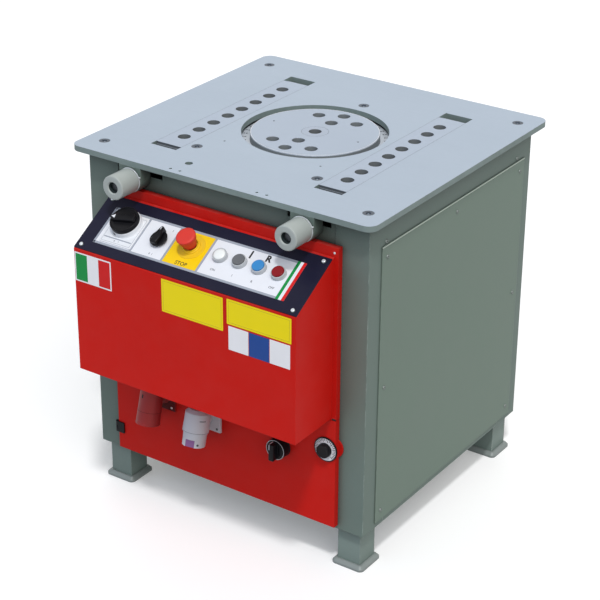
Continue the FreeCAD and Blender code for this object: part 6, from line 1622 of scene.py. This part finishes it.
@dataclass
class Studio:
    """White floor and backdrop, soft light and the camera."""

    lens: float = 109.61
    camera_at: Triple = (1.9794, -2.8818, 2.1483)
    azimuth: float = 34.42
    elevation: float = 26.28
    roll: float = 0.38
    ambient: float = 0.34
    half_floor: float = 12.0
    target: Triple = (0.0, 0.0, 0.45)
    lamps: tuple[Lamp, ...] = (
        Lamp("key_light", (0.8, -1.1, 3.0), 1.35, 6.0),
        Lamp("window_light", (1.9, -1.4, 2.5), 1.2, 50.0),
        Lamp("sky_light", (-1.3, -1.9, 1.1), 0.45, 60.0, (0.3, 0.55, 1.0)),
        Lamp("back_light", (-1.6, 2.1, 1.1), 0.85, 60.0, mirrored=False),
    )

    def build(self) -> None:
        """Make everything round the object."""
        self.floor()
        self.world()
        for lamp in self.lamps:
            lamp.build(self.target)
        self.camera()

    def seen(self, graph: Graph) -> Socket:
        """A mask of the rays that show the backdrop: camera, mirror and glass rays.

        Args:
            graph: the graph that it goes into.

        Returns:
            The mask.
        """
        rays = graph.add("LightPath").outputs
        first = graph.maths("MAXIMUM", rays["Is Camera Ray"], rays["Is Glossy Ray"])
        return graph.maths("MAXIMUM", first, rays["Is Transmission Ray"])

    def floor(self) -> None:
        """A white floor that keeps the object's shadow."""
        mesh = bpy.data.meshes.new("floor")
        half = self.half_floor
        corners = [(i * half, j * half, 0) for i, j in ((-1, -1), (1, -1), (1, 1), (-1, 1))]
        mesh.from_pydata(corners, [], [(0, 1, 2, 3)])
        floor = placed("floor", mesh)
        material = bpy.data.materials.new("white_floor")
        material.use_nodes = True
        graph = Graph(material.node_tree)
        graph.tree.nodes.clear()
        plain = graph.add("BsdfDiffuse", {"Color": (0.35, 0.35, 0.35, 1)}).outputs[0]
        shown = graph.add("BsdfDiffuse", {"Color": (0.9, 0.9, 0.9, 1)}).outputs[0]
        glow = graph.add("Emission", {"Color": (1, 1, 1, 1), "Strength": 0.17}).outputs[0]
        both = graph.add("AddShader", {0: shown, 1: glow}).outputs[0]
        mix = graph.add("MixShader", {0: self.seen(graph), 1: plain, 2: both}).outputs[0]
        graph.add("OutputMaterial", {"Surface": mix})
        mesh.materials.append(material)

    def world(self) -> None:
        """A white backdrop that lights the object at a plain level."""
        world = bpy.data.worlds.new("studio")
        bpy.context.scene.world = world
        world.use_nodes = True
        graph = Graph(world.node_tree)
        background = world.node_tree.nodes["Background"].inputs
        graph.feed(background["Color"], (1, 1, 1, 1))
        graph.feed(background["Strength"], graph.span(self.seen(graph), (0, 1, self.ambient, 1.0)))

    def camera(self) -> None:
        """The photograph's camera: azimuth and elevation of the view, with a slight roll."""
        azimuth, elevation, roll = map(math.radians, (self.azimuth, self.elevation, self.roll))
        flat = math.cos(elevation)
        back = Vector((math.sin(azimuth) * flat, -math.cos(azimuth) * flat, math.sin(elevation)))
        right = Vector((math.cos(azimuth), math.sin(azimuth), 0))
        up = back.cross(right)
        right, up = right * math.cos(roll) + up * math.sin(roll), up * math.cos(roll) - right * math.sin(roll)
        lens = bpy.data.cameras.new("camera")
        lens.lens = self.lens
        lens.sensor_width = 36.0
        lens.sensor_fit = "HORIZONTAL"
        camera = placed("camera", lens)
        turn = Matrix((right, up, back)).transposed().to_4x4()
        camera.matrix_world = Matrix.Translation(Vector(self.camera_at)) @ turn
        bpy.context.scene.camera = camera
        bpy.context.scene.view_settings.view_transform = "Standard"


def dress_nodes() -> None:
    """Give every CAD node the finish that the record names for it, or a special one."""
    looks = {look.value.slot: look for look in reversed(Look)}
    special = {"legs": Look.LEG_PAINT}
    special |= dict.fromkeys(("hole_strip_left", "hole_strip_right"), Look.STRIP_STEEL)
    special |= dict.fromkeys(("base_frame", "body_frame", "front_sheet", "roller_lugs"), Look.FRAME_PAINT)
    for part in frame["record"]["subparts"]:
        look = special.get(part["node"], looks[part["material_slot"]])
        for slot in frame["nodes"][part["node"]].material_slots:
            slot.material = look.material()
        log.info("%s takes %s", part["node"], part["material_slot"])


def main() -> None:
    """Build the looks in order."""
    logging.basicConfig(level=logging.INFO, format="%(message)s")
    Groups.build()
    dress_nodes()
    tilt = math.radians(PLATE_TILT)
    box_front, table_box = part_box("control_box")[0].y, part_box("table_plate")
    panel = Seat((0.0, box_front, PLATE_FOOT * MM), RIGHT, (0.0, math.cos(tilt), math.sin(tilt)),
                 (0.0, -math.sin(tilt), math.cos(tilt)))
    door = Seat((0.0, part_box("lower_door")[0].y, 0.0))
    table = Seat((0.0, (table_box[0].y + table_box[1].y) / 2, table_box[1].z), RIGHT, BACK, UP)
    for assembly in (
        Legend(panel, "cabinet"),
        Labels(Seat((0.0, box_front, 0.0)), "cabinet"),
        PushButtons(panel, "cabinet"),
        MainSwitch(panel, "cabinet"),
        ModeSelector(panel, "mode_selector"),
        EmergencyStop(panel, "cabinet"),
        DoorSelector(door, "door"),
        Dial(door, "door"),
        Sockets(door, "door"),
        Rollers(table, "cabinet"),
        TableDetails(table, "cabinet"),
        PanelTrims(door, "cabinet", panel),
    ):
        assembly.build()
    Studio().build()


if __name__ == "__main__":
    main()
